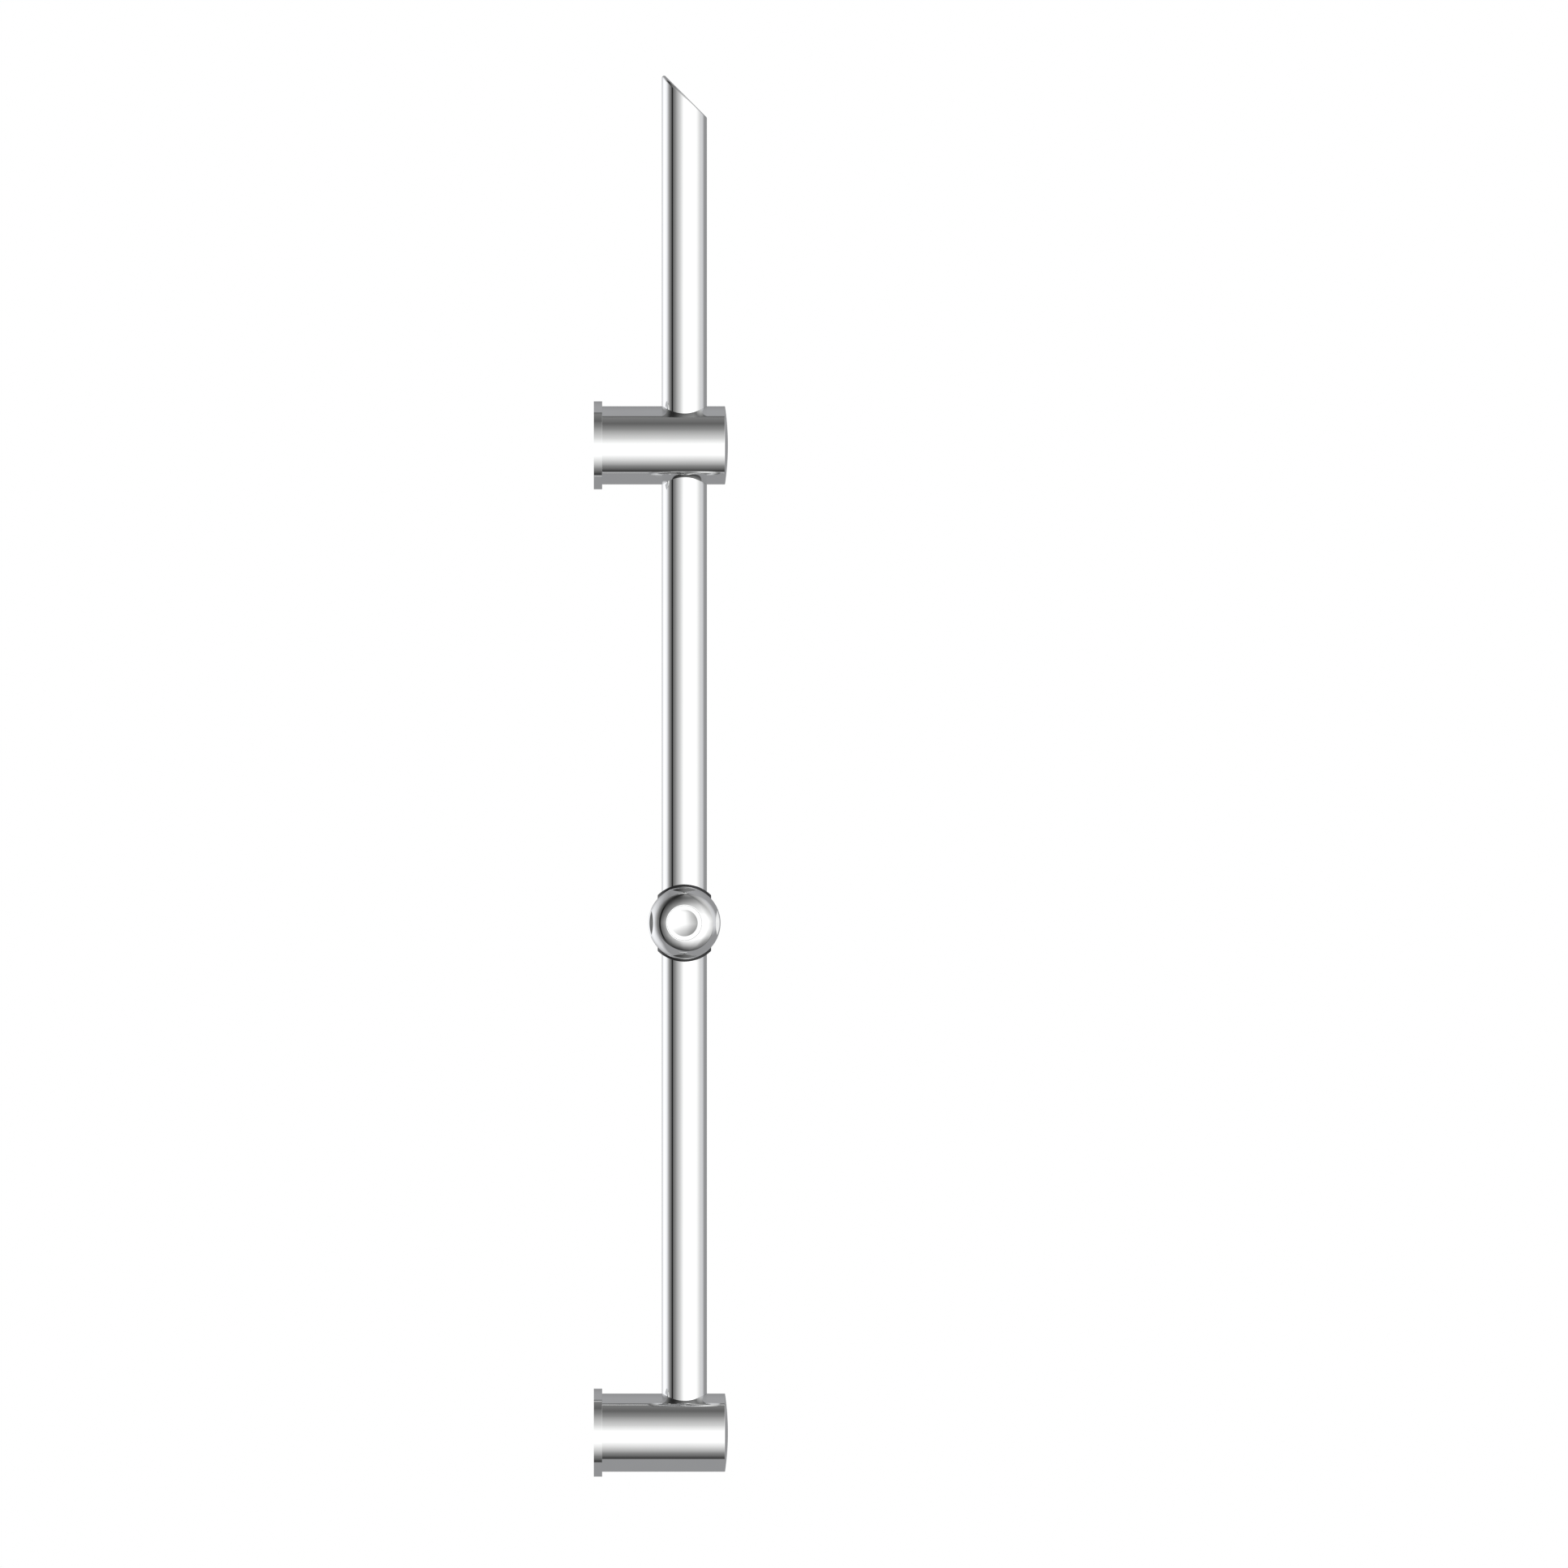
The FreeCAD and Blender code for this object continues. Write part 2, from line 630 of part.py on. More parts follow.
def liner_bush(label, rotation=None):
    """Bush with a snap bead, its outer end trimmed to a curve round the slider's axis."""
    body = slider_part(label, rotation=rotation)
    bead_radius = f"({bush_radius} + Sizes.bush_bead_height)"
    turn(
        body,
        "turned",
        "V_Axis",
        [
            (bush_inner_radius, bush_inner_end),
            (bush_radius, bush_inner_end),
            (bush_radius, bead_low),
            (bead_radius, bead_low),
            (bead_radius, bead_high),
            (bush_radius, bead_high),
            (bush_radius, f"2 * {bush_reach}"),
            (bush_inner_radius, f"2 * {bush_reach}"),
        ],
        "XZ_Plane",
    )
    saddle = new_sketch(body, "saddle_circles", "XZ_Plane")
    circle(saddle, bush_reach)
    circle(saddle, f"4 * {bush_reach}")
    extrude(body, "Pocket", "saddle", saddle, f"4 * {bush_reach}", both=True)


def clamp_sleeve():
    """Split sleeve that the thrust pad squeezes on the rail."""
    body = slider_part("clamp_sleeve")
    ring = new_sketch(body, "ring", "XY_Plane")
    circle(ring, sleeve_radius)
    circle(ring, sleeve_inner_radius)
    extrude(body, "Pad", "blank", ring, "Sizes.sleeve_length", both=True)
    slit = new_sketch(body, "slit_outline", "XZ_Plane")
    half = "Sizes.sleeve_slit / 2"
    outline(
        slit,
        [
            (f"-{half}", "-Sizes.sleeve_length"),
            (half, "-Sizes.sleeve_length"),
            (half, "Sizes.sleeve_length"),
            (f"-{half}", "Sizes.sleeve_length"),
        ],
    )
    extrude(body, "Pocket", "slit", slit, f"2 * {sleeve_radius}")


def thrust_pad():
    """Slug with a hollow face for the sleeve and a socket for the screw's tip."""
    body = slider_part("thrust_pad")
    tip_radius = "(Sizes.clamp_tip_diameter / 2 + Sizes.pad_fit)"
    turn(
        body,
        "turned",
        "V_Axis",
        [
            ("0", f"-{rail_radius}"),
            (pad_radius, f"-{rail_radius}"),
            (pad_radius, f"-{pad_back}"),
            (tip_radius, f"-{pad_back}"),
            (tip_radius, f"Sizes.pad_contact_gap - {clamp_tip_end}"),
            ("0", f"Sizes.pad_contact_gap - {clamp_tip_end}"),
        ],
        "XY_Plane",
    )
    hollow = new_sketch(body, "face_circle", "XY_Plane")
    circle(hollow, pad_face_radius)
    extrude(body, "Pocket", "face", hollow, "2 * Sizes.clamp_screw_diameter", both=True)


def clamp_knob():
    """Knob with a large nose radius, a recess for its cap and four finger scallops."""
    body = slider_part("clamp_knob")
    turn(
        body,
        "turned",
        "V_Axis",
        [
            (clamp_hole_radius, f"-{knob_back}"),
            (f"{knob_radius} - Sizes.knob_back_chamfer", f"-{knob_back}"),
            (knob_radius, f"-{knob_back} - Sizes.knob_back_chamfer"),
            (knob_radius, f"-{nose_start}"),
            (knob_face_radius, f"-{knob_face}"),
            (cap_recess_radius, f"-{knob_face}"),
            (cap_recess_radius, f"-{cap_seat}"),
            (clamp_head_bore, f"-{cap_seat}"),
            (clamp_head_bore, f"-{clamp_head_seat}"),
            (clamp_hole_radius, f"-{clamp_head_seat}"),
        ],
        "XY_Plane",
        arcs={3: ("Sizes.knob_nose_radius", -1)},
    )
    finger = new_sketch(body, "scallop_circle", "XZ_Plane")
    circle(finger, "Sizes.scallop_radius", x=f"{knob_radius} - Sizes.scallop_depth + Sizes.scallop_radius")
    scallop = extrude(body, "Pocket", "scallop", finger, f"4 * {knob_face}", both=True)
    ring = body.newObject("PartDesign::PolarPattern", "clamp_knob_scallops")
    ring.Originals = [scallop]
    ring.Axis = (finger, ["N_Axis"])
    ring.Angle = 360
    ring.setExpression("Occurrences", "Sizes.scallop_count")
    body.Tip = ring
    doc.recompute()
    back = -size(knob_back)
    scallop_faces = [
        face
        for face in ring.Shape.Faces
        if hasattr(face.Surface, "Radius") and abs(face.Surface.Radius - size("Sizes.scallop_radius")) < 1e-4
    ]
    scallop_edges = [edge for face in scallop_faces for edge in face.Edges]
    dress(
        body,
        "Fillet",
        "soft_scallops",
        "Sizes.scallop_edge_radius",
        lambda e: e.CenterOfMass.y < back - size("Sizes.knob_back_chamfer")
        and any(e.isSame(other) for other in scallop_edges),
    )


def clamp_screw():
    """Socket-head screw held in the knob, with a reduced tip for the thrust pad."""
    body = slider_part("clamp_screw")
    tip_radius = "(Sizes.clamp_tip_diameter / 2)"
    turn(
        body,
        "turned",
        "V_Axis",
        [
            ("0", f"-{clamp_tip_end}"),
            (tip_radius, f"-{clamp_tip_end}"),
            (tip_radius, f"-{clamp_screw_end}"),
            (clamp_screw_radius, f"-{clamp_screw_end}"),
            (clamp_screw_radius, f"-{clamp_head_seat}"),
            (clamp_head_radius, f"-{clamp_head_seat}"),
            (clamp_head_radius, f"-{clamp_head_top}"),
            ("0", f"-{clamp_head_top}"),
        ],
        "XY_Plane",
    )
    socket = new_sketch(body, "socket_outline", "XZ_Plane", clamp_head_top)
    hexagon(socket, "Sizes.clamp_key")
    extrude(body, "Pocket", "socket", socket, "Sizes.clamp_key_depth")


def knob_cap():
    """Dimpled cap with a short hollow plug that snaps into the screw-head bore."""
    body = slider_part("knob_cap")
    plug_radius = f"({clamp_head_bore} - Sizes.cap_fit)"
    plug_end = f"({cap_seat} - Sizes.cap_plug_length)"
    turn(
        body,
        "turned",
        "V_Axis",
        [
            ("0", f"-{cap_seat}"),
            ("Sizes.cap_plug_bore / 2", f"-{cap_seat}"),
            ("Sizes.cap_plug_bore / 2", f"-{plug_end}"),
            (plug_radius, f"-{plug_end}"),
            (plug_radius, f"-{cap_seat}"),
            (cap_radius, f"-{cap_seat}"),
            (cap_radius, f"-{knob_face}"),
            ("Sizes.dimple_diameter / 2", f"-{knob_face}"),
            ("0", f"{dimple_depth} - {knob_face}"),
        ],
        "XY_Plane",
        arcs={7: ("Sizes.dimple_radius", 1)},
    )


def handset_holder():
    """Conical cup on a round boss, slotted for the hose and bored for its pivot screw."""
    body = new_body("handset_holder", x="Sizes.rail_offset", y=cup_axis, z="Sizes.slider_height")
    boss_length = f"({cup_axis} - {boss_face})"
    rim_radii = [
        cup_top_radius,
        cup_foot_radius,
        f"({cup_top_radius} + Sizes.cup_wall)",
        f"({cup_foot_radius} + Sizes.cup_wall)",
    ]
    turn(
        body,
        "cup",
        "V_Axis",
        [
            ("0", f"-{cup_half_height}"),
            (f"{cup_foot_radius} + Sizes.cup_wall", f"-{cup_half_height}"),
            (f"{cup_top_radius} + Sizes.cup_wall", cup_half_height),
            ("0", cup_half_height),
        ],
        "XZ_Plane",
    )
    boss = new_sketch(body, "boss_circle", "XZ_Plane")
    circle(boss, "Sizes.boss_diameter / 2")
    extrude(body, "Pad", "boss", boss, boss_length)
    turn(
        body,
        "cone_bore",
        "V_Axis",
        [
            ("0", f"-{cup_half_height}"),
            (cup_foot_radius, f"-{cup_half_height}"),
            (cup_top_radius, cup_half_height),
            ("0", cup_half_height),
        ],
        "XZ_Plane",
        kind="Groove",
    )
    slot = new_sketch(body, "hose_slot_outline", "YZ_Plane")
    half = "Sizes.hose_slot / 2"
    outline(
        slot,
        [
            (f"-{half}", "-Sizes.cup_height"),
            (half, "-Sizes.cup_height"),
            (half, "Sizes.cup_height"),
            (f"-{half}", "Sizes.cup_height"),
        ],
    )
    extrude(body, "Pocket", "hose_slot", slot, "Sizes.cup_top_bore", reverse=True)
    dress(
        body,
        "Fillet",
        "soft_edges",
        "Sizes.cup_edge_radius",
        lambda e: any(is_circle(e, radius) for radius in rim_radii) or is_slot_edge(e),
    )
    pivot = new_sketch(body, "pivot_circle", "XZ_Plane")
    circle(pivot, pivot_bore_radius)
    extrude(body, "Pocket", "pivot_hole", pivot, boss_length, reverse=True)
    room = new_sketch(body, "head_room_circle", "XZ_Plane")
    circle(room, pivot_room_radius)
    extrude(body, "Pocket", "head_room", room, f"{cup_axis} - {spring_seat}", reverse=True)


def pivot_screw():
    """Low-head socket screw that the holder swivels on."""
    body = slider_part("pivot_screw")
    turn(
        body,
        "turned",
        "V_Axis",
        [
            ("0", pivot_end),
            (pivot_radius, pivot_end),
            (pivot_radius, pivot_head_seat),
            (pivot_head_radius, pivot_head_seat),
            (pivot_head_radius, pivot_head_top),
            ("0", pivot_head_top),
        ],
        "XY_Plane",
    )
    socket = new_sketch(body, "socket_outline", "XZ_Plane", f"-{pivot_head_top}")
    hexagon(socket, "Sizes.pivot_key")
    extrude(body, "Pocket", "socket", socket, "Sizes.pivot_key_depth", reverse=True)


def friction_washer():
    """Flat plastic washer between the slider's end and the holder's boss."""
    body = slider_part("friction_washer")
    ring = new_sketch(body, "ring", "XZ_Plane", f"-{slider_end}")
    circle(ring, "Sizes.washer_diameter / 2")
    circle(ring, pivot_bore_radius)
    extrude(body, "Pad", "blank", ring, "Sizes.washer_thickness", reverse=True)


def spring_washer():
    """Dished spring washer under the pivot screw's head."""
    body = slider_part("spring_washer")
    low = f"{spring_seat} + Sizes.washer_face_gap"
    turn(
        body,
        "turned",
        "V_Axis",
        [
            (pivot_head_radius, low),
            (pivot_head_radius, f"{low} + Sizes.spring_thickness"),
            (pivot_bore_radius, pivot_head_seat),
            (pivot_bore_radius, f"{pivot_head_seat} - Sizes.spring_thickness"),
        ],
        "XY_Plane",
    )


rail_tube()
rail_end_cap()
bracket("upper", "Sizes.bracket_spacing", "Sizes.bracket_diameter")
bracket("lower", "0", "(Sizes.rail_foot + Sizes.rail_floor_gap)")
slider_body()
liner_bush("upper_liner_bush")
liner_bush("lower_liner_bush", rotation=Rotation(Vector(0, 1, 0), 180))
clamp_sleeve()
thrust_pad()
clamp_knob()
clamp_screw()
knob_cap()
handset_holder()
pivot_screw()
friction_washer()
spring_washer()
doc.recompute()

for item in doc.Objects:
    if "Invalid" in item.State or "Error" in item.State:
        raise RuntimeError(f"{item.Label} did not build")

os.makedirs("parts", exist_ok=True)
for body in doc.findObjects("PartDesign::Body"):
    if body.Shape.isNull() or not body.Shape.isValid() or not body.Shape.Solids:
        raise RuntimeError(f"{body.Label} has no valid solid")
    body.Shape.exportStep(f"parts/{body.Label}.step")
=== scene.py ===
"""Looks of a wall-mounted shower slide rail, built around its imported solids.

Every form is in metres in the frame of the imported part: the wall is the plane X = 0, the rail
stands along Z and the clamp knob points along -Y. The chromed pieces are laid out as patches
whose corner normals are exact, so that the plating reflects as a polished surface does.
"""

import logging
import math
from dataclasses import dataclass, field
from enum import Enum
from functools import cache
from typing import ClassVar

import bpy
import numpy as np
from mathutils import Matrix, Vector
from mathutils.geometry import delaunay_2d_cdt


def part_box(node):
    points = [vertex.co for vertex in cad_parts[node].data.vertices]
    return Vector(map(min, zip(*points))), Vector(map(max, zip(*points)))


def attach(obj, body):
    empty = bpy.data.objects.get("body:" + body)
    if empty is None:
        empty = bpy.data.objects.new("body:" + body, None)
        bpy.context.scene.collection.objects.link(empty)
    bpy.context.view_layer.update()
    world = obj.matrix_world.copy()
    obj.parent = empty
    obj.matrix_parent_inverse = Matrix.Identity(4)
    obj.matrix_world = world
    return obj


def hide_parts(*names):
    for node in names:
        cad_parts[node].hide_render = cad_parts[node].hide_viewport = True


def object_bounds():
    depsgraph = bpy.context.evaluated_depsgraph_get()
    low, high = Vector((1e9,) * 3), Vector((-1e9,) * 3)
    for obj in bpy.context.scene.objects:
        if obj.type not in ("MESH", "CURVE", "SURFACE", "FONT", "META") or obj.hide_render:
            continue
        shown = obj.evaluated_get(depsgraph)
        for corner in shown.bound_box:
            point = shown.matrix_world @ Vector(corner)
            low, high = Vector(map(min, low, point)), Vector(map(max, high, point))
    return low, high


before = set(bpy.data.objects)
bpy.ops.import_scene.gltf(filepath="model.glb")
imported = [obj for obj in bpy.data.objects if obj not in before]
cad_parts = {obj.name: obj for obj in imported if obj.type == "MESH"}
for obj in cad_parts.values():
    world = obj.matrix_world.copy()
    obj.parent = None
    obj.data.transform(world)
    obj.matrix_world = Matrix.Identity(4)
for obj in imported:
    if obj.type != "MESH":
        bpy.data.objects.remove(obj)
CAD_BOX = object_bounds()

LOG = logging.getLogger("slide_rail")
MM = 0.001
FULL_TURN = 2.0 * math.pi
QUARTER_TURN = math.pi / 2.0

Triple = tuple[float, float, float]
Stops = tuple[tuple[float, float], ...]
Socket = bpy.types.NodeSocket
Inputs = dict[str | int, Socket | float | Triple]


class Body(Enum):
    """Rigid bodies that the new pieces ride on."""

    WALL_RAIL = "wall_rail"
    SLIDER = "slider"
    KNOB = "knob"


class Side(Enum):
    """The two wall brackets."""

    UPPER = "upper"
    LOWER = "lower"


class Slot(Enum):
    """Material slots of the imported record."""

    CHROME = "chrome"
    SCREW_STEEL = "screw_steel"
    DARK_LINER = "dark_liner"
    CLAMP_PLASTIC = "clamp_plastic"
    PAD_BRASS = "pad_brass"


class Operation(Enum):
    """Operations of the Math node that the studio's light takes."""

    ADD = "ADD"
    SUBTRACT = "SUBTRACT"
    MULTIPLY = "MULTIPLY"
    MAXIMUM = "MAXIMUM"
    ARCTAN2 = "ARCTAN2"
    ARCSINE = "ARCSINE"


@dataclass(frozen=True)
class Axis:
    """Axis of a turned form: an origin, its direction and the direction of angle zero."""

    origin: Triple
    along: Triple
    zero: Triple

    def side(self) -> np.ndarray:
        """Direction of a quarter turn from angle zero."""
        return np.cross(self.along, self.zero)

    def around(self, angles: np.ndarray) -> np.ndarray:
        """Unit directions away from the axis at the given angles."""
        return np.multiply.outer(np.cos(angles), self.zero) + np.multiply.outer(np.sin(angles), self.side())

    def points(self, radii: np.ndarray, places: np.ndarray, angles: np.ndarray) -> np.ndarray:
        """Points at radii, places along the axis and angles, whose shapes spread to one.

        Args:
            radii: distances from the axis.
            places: places along the axis.
            angles: angles about the axis.

        Returns:
            An array of points with one more dimension than the inputs.
        """
        radii, places, angles = np.broadcast_arrays(radii, places, angles)
        out = self.around(angles) * radii[..., None]
        return np.asarray(self.origin) + out + np.multiply.outer(places, self.along)


@dataclass(frozen=True)
class Stretch:
    """Sampled stretch of a half section: points and outward normals as (radius, place) pairs."""

    points: np.ndarray
    normals: np.ndarray


@dataclass
class Outline:
    """Half section of a turned form, drawn with the metal on its left.

    Each corner stays sharp, and a rounded edge is an arc of its own.
    """

    radius: float
    place: float
    stretches: list[Stretch] = field(default_factory=list)

    def line(self, radius: float, place: float) -> "Outline":
        """Adds a straight stretch.

        Args:
            radius: radius where the stretch ends.
            place: place where the stretch ends.

        Returns:
            The outline itself.
        """
        start = np.array([self.radius, self.place])
        end = np.array([radius, place])
        run = end - start
        normal = np.array([run[1], -run[0]]) / np.linalg.norm(run)
        self.stretches.append(Stretch(np.array([start, end]), np.array([normal, normal])))
        self.radius, self.place = radius, place
        return self

    def arc(self, radius: float, place: float, centre: tuple[float, float], steps: int) -> "Outline":
        """Adds a round stretch about a centre, by the shorter way round.

        Args:
            radius: radius where the stretch ends.
            place: place where the stretch ends.
            centre: centre of the arc as (radius, place).
            steps: number of chords.

        Returns:
            The outline itself.
        """
        first = math.atan2(self.place - centre[1], self.radius - centre[0])
        last = math.atan2(place - centre[1], radius - centre[0])
        sweep = math.remainder(last - first, FULL_TURN)
        reach = math.hypot(radius - centre[0], place - centre[1])
        angles = first + sweep * np.linspace(0.0, 1.0, steps + 1)
        rays = np.stack([np.cos(angles), np.sin(angles)], axis=1)
        self.stretches.append(Stretch(np.asarray(centre) + reach * rays, rays * math.copysign(1.0, sweep)))
        self.radius, self.place = radius, place
        return self


@dataclass
class Skin:
    """Patches of one piece: the corners of its quads and the normal at each corner."""

    corners: list[np.ndarray] = field(default_factory=list)
    normals: list[np.ndarray] = field(default_factory=list)

    WELD: ClassVar[float] = 1.0e-8

    def patch(self, points: np.ndarray, normals: np.ndarray) -> None:
        """Adds a closed band of quads, wound so that its faces look along their normals.

        Args:
            points: grid of points, rows by columns, whose last column joins the first one.
            normals: outward normals, of the grid's shape or spreading to it.
        """
        grids = (points, np.broadcast_to(normals, points.shape))
        quads = [self._quads(np.concatenate([grid, grid[:, :1]], axis=1)) for grid in grids]
        facing = np.cross(quads[0][:, 2] - quads[0][:, 0], quads[0][:, 3] - quads[0][:, 1])
        if np.sum(facing * quads[1].mean(axis=1)) < 0.0:
            quads = [grid[:, ::-1] for grid in quads]
        self.corners.append(quads[0])
        self.normals.append(quads[1])

    def turn(self, axis: Axis, outline: Outline, angles: np.ndarray) -> None:
        """Adds the surface that an outline sweeps round an axis.

        Args:
            axis: axis of the form.
            outline: half section of the form.
            angles: angles of the columns.
        """
        for stretch in outline.stretches:
            radii, places = stretch.points[:, :1], stretch.points[:, 1:]
            rays = axis.around(angles)[None, :, :] * stretch.normals[:, 0, None, None]
            normals = rays + (np.asarray(axis.along) * stretch.normals[:, 1:])[:, None, :]
            self.patch(axis.points(radii, places, angles), normals)

    def flat(self, rings: list[np.ndarray], normal: np.ndarray) -> None:
        """Adds a flat face inside the first ring and outside the other, round rings.

        Args:
            rings: closed rings of points in one plane, the outer one first.
            normal: unit normal of the face.
        """
        across = np.cross(normal, np.roll(normal, 1))
        across /= np.linalg.norm(across)
        up = np.cross(normal, across)
        spots = np.concatenate(rings)
        drawn = [Vector((float(spot @ across), float(spot @ up))) for spot in spots]
        edges = []
        for ring in rings:
            first = len(edges)
            edges += [(first + i, first + (i + 1) % len(ring)) for i in range(len(ring))]
        _, _, faces, origins, _, _ = delaunay_2d_cdt(drawn, edges, [], 0, self.WELD)
        found = np.array([[origins[corner][0] for corner in face] for face in faces])
        middles = spots[found].mean(axis=1)
        kept = np.ones(len(found), bool)
        for ring in rings[1:]:
            centre = ring.mean(axis=0)
            kept &= np.linalg.norm(middles - centre, axis=1) > np.linalg.norm(ring[0] - centre)
        triangles = spots[found[kept]]
        quads = np.concatenate([triangles, triangles[:, 2:]], axis=1)
        facing = np.cross(quads[:, 1] - quads[:, 0], quads[:, 2] - quads[:, 0])
        backward = facing @ normal < 0.0
        quads[backward] = quads[backward][:, ::-1]
        self.corners.append(quads)
        self.normals.append(np.broadcast_to(normal, quads.shape))

    def piece(self, name: str) -> bpy.types.Object:
        """Makes a Blender object of the patches, welded, smooth and with the exact normals.

        Args:
            name: name of the object.

        Returns:
            The new object, linked to the scene.
        """
        corners = np.concatenate(self.corners).reshape(-1, 3)
        normals = np.concatenate(self.normals).reshape(-1, 3)
        cells = np.round(corners / self.WELD).astype(np.int64)
        keys, inverse = np.unique(cells, axis=0, return_inverse=True)
        faces, loops = [], []
        for start, quad in enumerate(inverse.reshape(-1, 4)):
            kept = [i for i in range(4) if quad[i] != quad[i - 1]]
            if len(kept) > 2:
                faces.append([int(quad[i]) for i in kept])
                loops.extend(normals[4 * start + i] for i in kept)
        mesh = bpy.data.meshes.new(name)
        mesh.from_pydata((keys * self.WELD).tolist(), [], faces)
        mesh.shade_smooth()
        exact = np.array(loops)
        exact /= np.linalg.norm(exact, axis=1, keepdims=True)
        mesh.normals_split_custom_set(exact.tolist())
        made = bpy.data.objects.new(name, mesh)
        bpy.context.scene.collection.objects.link(made)
        return made

    @staticmethod
    def _quads(grid: np.ndarray) -> np.ndarray:
        """Corners of a grid's quads, in order round each quad."""
        corners = [grid[:-1, :-1], grid[:-1, 1:], grid[1:, 1:], grid[1:, :-1]]
        return np.stack(corners, axis=2).reshape(-1, 4, 3)


@dataclass(frozen=True)
class Bore:
    """Round hole across a turned body, from its skin towards its axis.

    Attributes:
        place: place of the hole along the body's axis.
        radius: radius of the hole.
        angle: angle of the hole's mouth about the body's axis.
        depth: height of the hole's inner end above the axis, measured towards its mouth.
        floored: whether a flat floor closes the inner end.
    """

    place: float
    radius: float
    angle: float
    depth: float
    floored: bool = False

    def half_width(self, body_radius: float, angles: np.ndarray) -> np.ndarray:
        """Half of the hole's length along the body's axis.

        Args:
            body_radius: radius of the body's skin.
            angles: angles about the body's axis.

        Returns:
            The half length at each angle, or zero beside the hole.
        """
        across = body_radius * np.sin(angles - self.angle)
        inside = np.clip(self.radius**2 - across**2, 0.0, None)
        return np.where(np.cos(angles - self.angle) > 0.0, np.sqrt(inside), 0.0)


@dataclass(frozen=True)
class CrossBored:
    """Turned skin of one radius, with holes bored across it."""

    axis: Axis
    radius: float
    start: float
    end: float
    bores: tuple[Bore, ...]

    MOUTH_STEPS: ClassVar[int] = 72
    SIDE_STEPS: ClassVar[int] = 256
    ANGLE_DIGITS: ClassVar[int] = 9

    def angles(self) -> np.ndarray:
        """Angles of the columns, close together where a hole's mouth bends most.

        Returns:
            The angles in order round the axis.
        """
        columns = [full_circle(self.SIDE_STEPS)]
        sweep = np.linspace(-QUARTER_TURN, QUARTER_TURN, self.MOUTH_STEPS)
        for bore in self.bores:
            mouth = np.arcsin(bore.radius * np.sin(sweep) / self.radius)
            columns.append(np.mod(bore.angle + mouth, FULL_TURN))
        return np.unique(np.round(np.concatenate(columns), self.ANGLE_DIGITS))

    def build(self, *ends: Outline) -> Skin:
        """Makes the skin, the walls of its holes and the body's ends.

        Args:
            ends: half sections of the ends.

        Returns:
            The body's patches.
        """
        skin = Skin()
        angles = self.angles()
        rays = self.axis.around(angles)
        low = np.full(len(angles), self.start)
        for mark in sorted({bore.place for bore in self.bores}):
            half = np.zeros(len(angles))
            for bore in self.bores:
                if bore.place == mark:
                    half = np.maximum(half, bore.half_width(self.radius, angles))
            skin.patch(self._strip(low, mark - half, angles), rays)
            low = mark + half
        skin.patch(self._strip(low, np.full(len(angles), self.end), angles), rays)
        for bore in self.bores:
            self._wall(skin, bore, angles)
        for outline in ends:
            skin.turn(self.axis, outline, angles)
        return skin

    def _strip(self, low: np.ndarray, high: np.ndarray, angles: np.ndarray) -> np.ndarray:
        """Two rows of points on the skin, from low to high places."""
        return self.axis.points(self.radius, np.stack([low, high]), angles)

    def _wall(self, skin: Skin, bore: Bore, angles: np.ndarray) -> None:
        """Adds the wall of a hole, and its floor where it has one.

        Args:
            skin: patches of the piece.
            bore: the hole.
            angles: angles of the skin's columns.
        """
        turned = angles - bore.angle
        inside = turned[(np.abs(self.radius * np.sin(turned)) < bore.radius) & (np.cos(turned) > 0.0)]
        across = np.sort(self.radius * np.sin(inside))
        half = np.sqrt(bore.radius**2 - across**2)
        around = np.concatenate([[-bore.radius], across, [bore.radius], across[::-1]])
        offset = np.concatenate([[0.0], half, [0.0], -half[::-1]])
        mouth = np.sqrt(self.radius**2 - around**2)
        heights = np.stack([np.full(len(mouth), bore.depth), mouth])
        out, side = self.axis.around(np.array([bore.angle, bore.angle + QUARTER_TURN]))
        plan = np.multiply.outer(offset, self.axis.along) + np.multiply.outer(around, side)
        foot = np.asarray(self.axis.origin) + bore.place * np.asarray(self.axis.along)
        points = foot + plan + heights[..., None] * out
        skin.patch(points, -plan / bore.radius)
        if bore.floored:
            skin.flat([points[0]], out)


def grey(level: float) -> tuple[float, float, float, float]:
    """Opaque colour of a grey level."""
    return (level, level, level, 1.0)


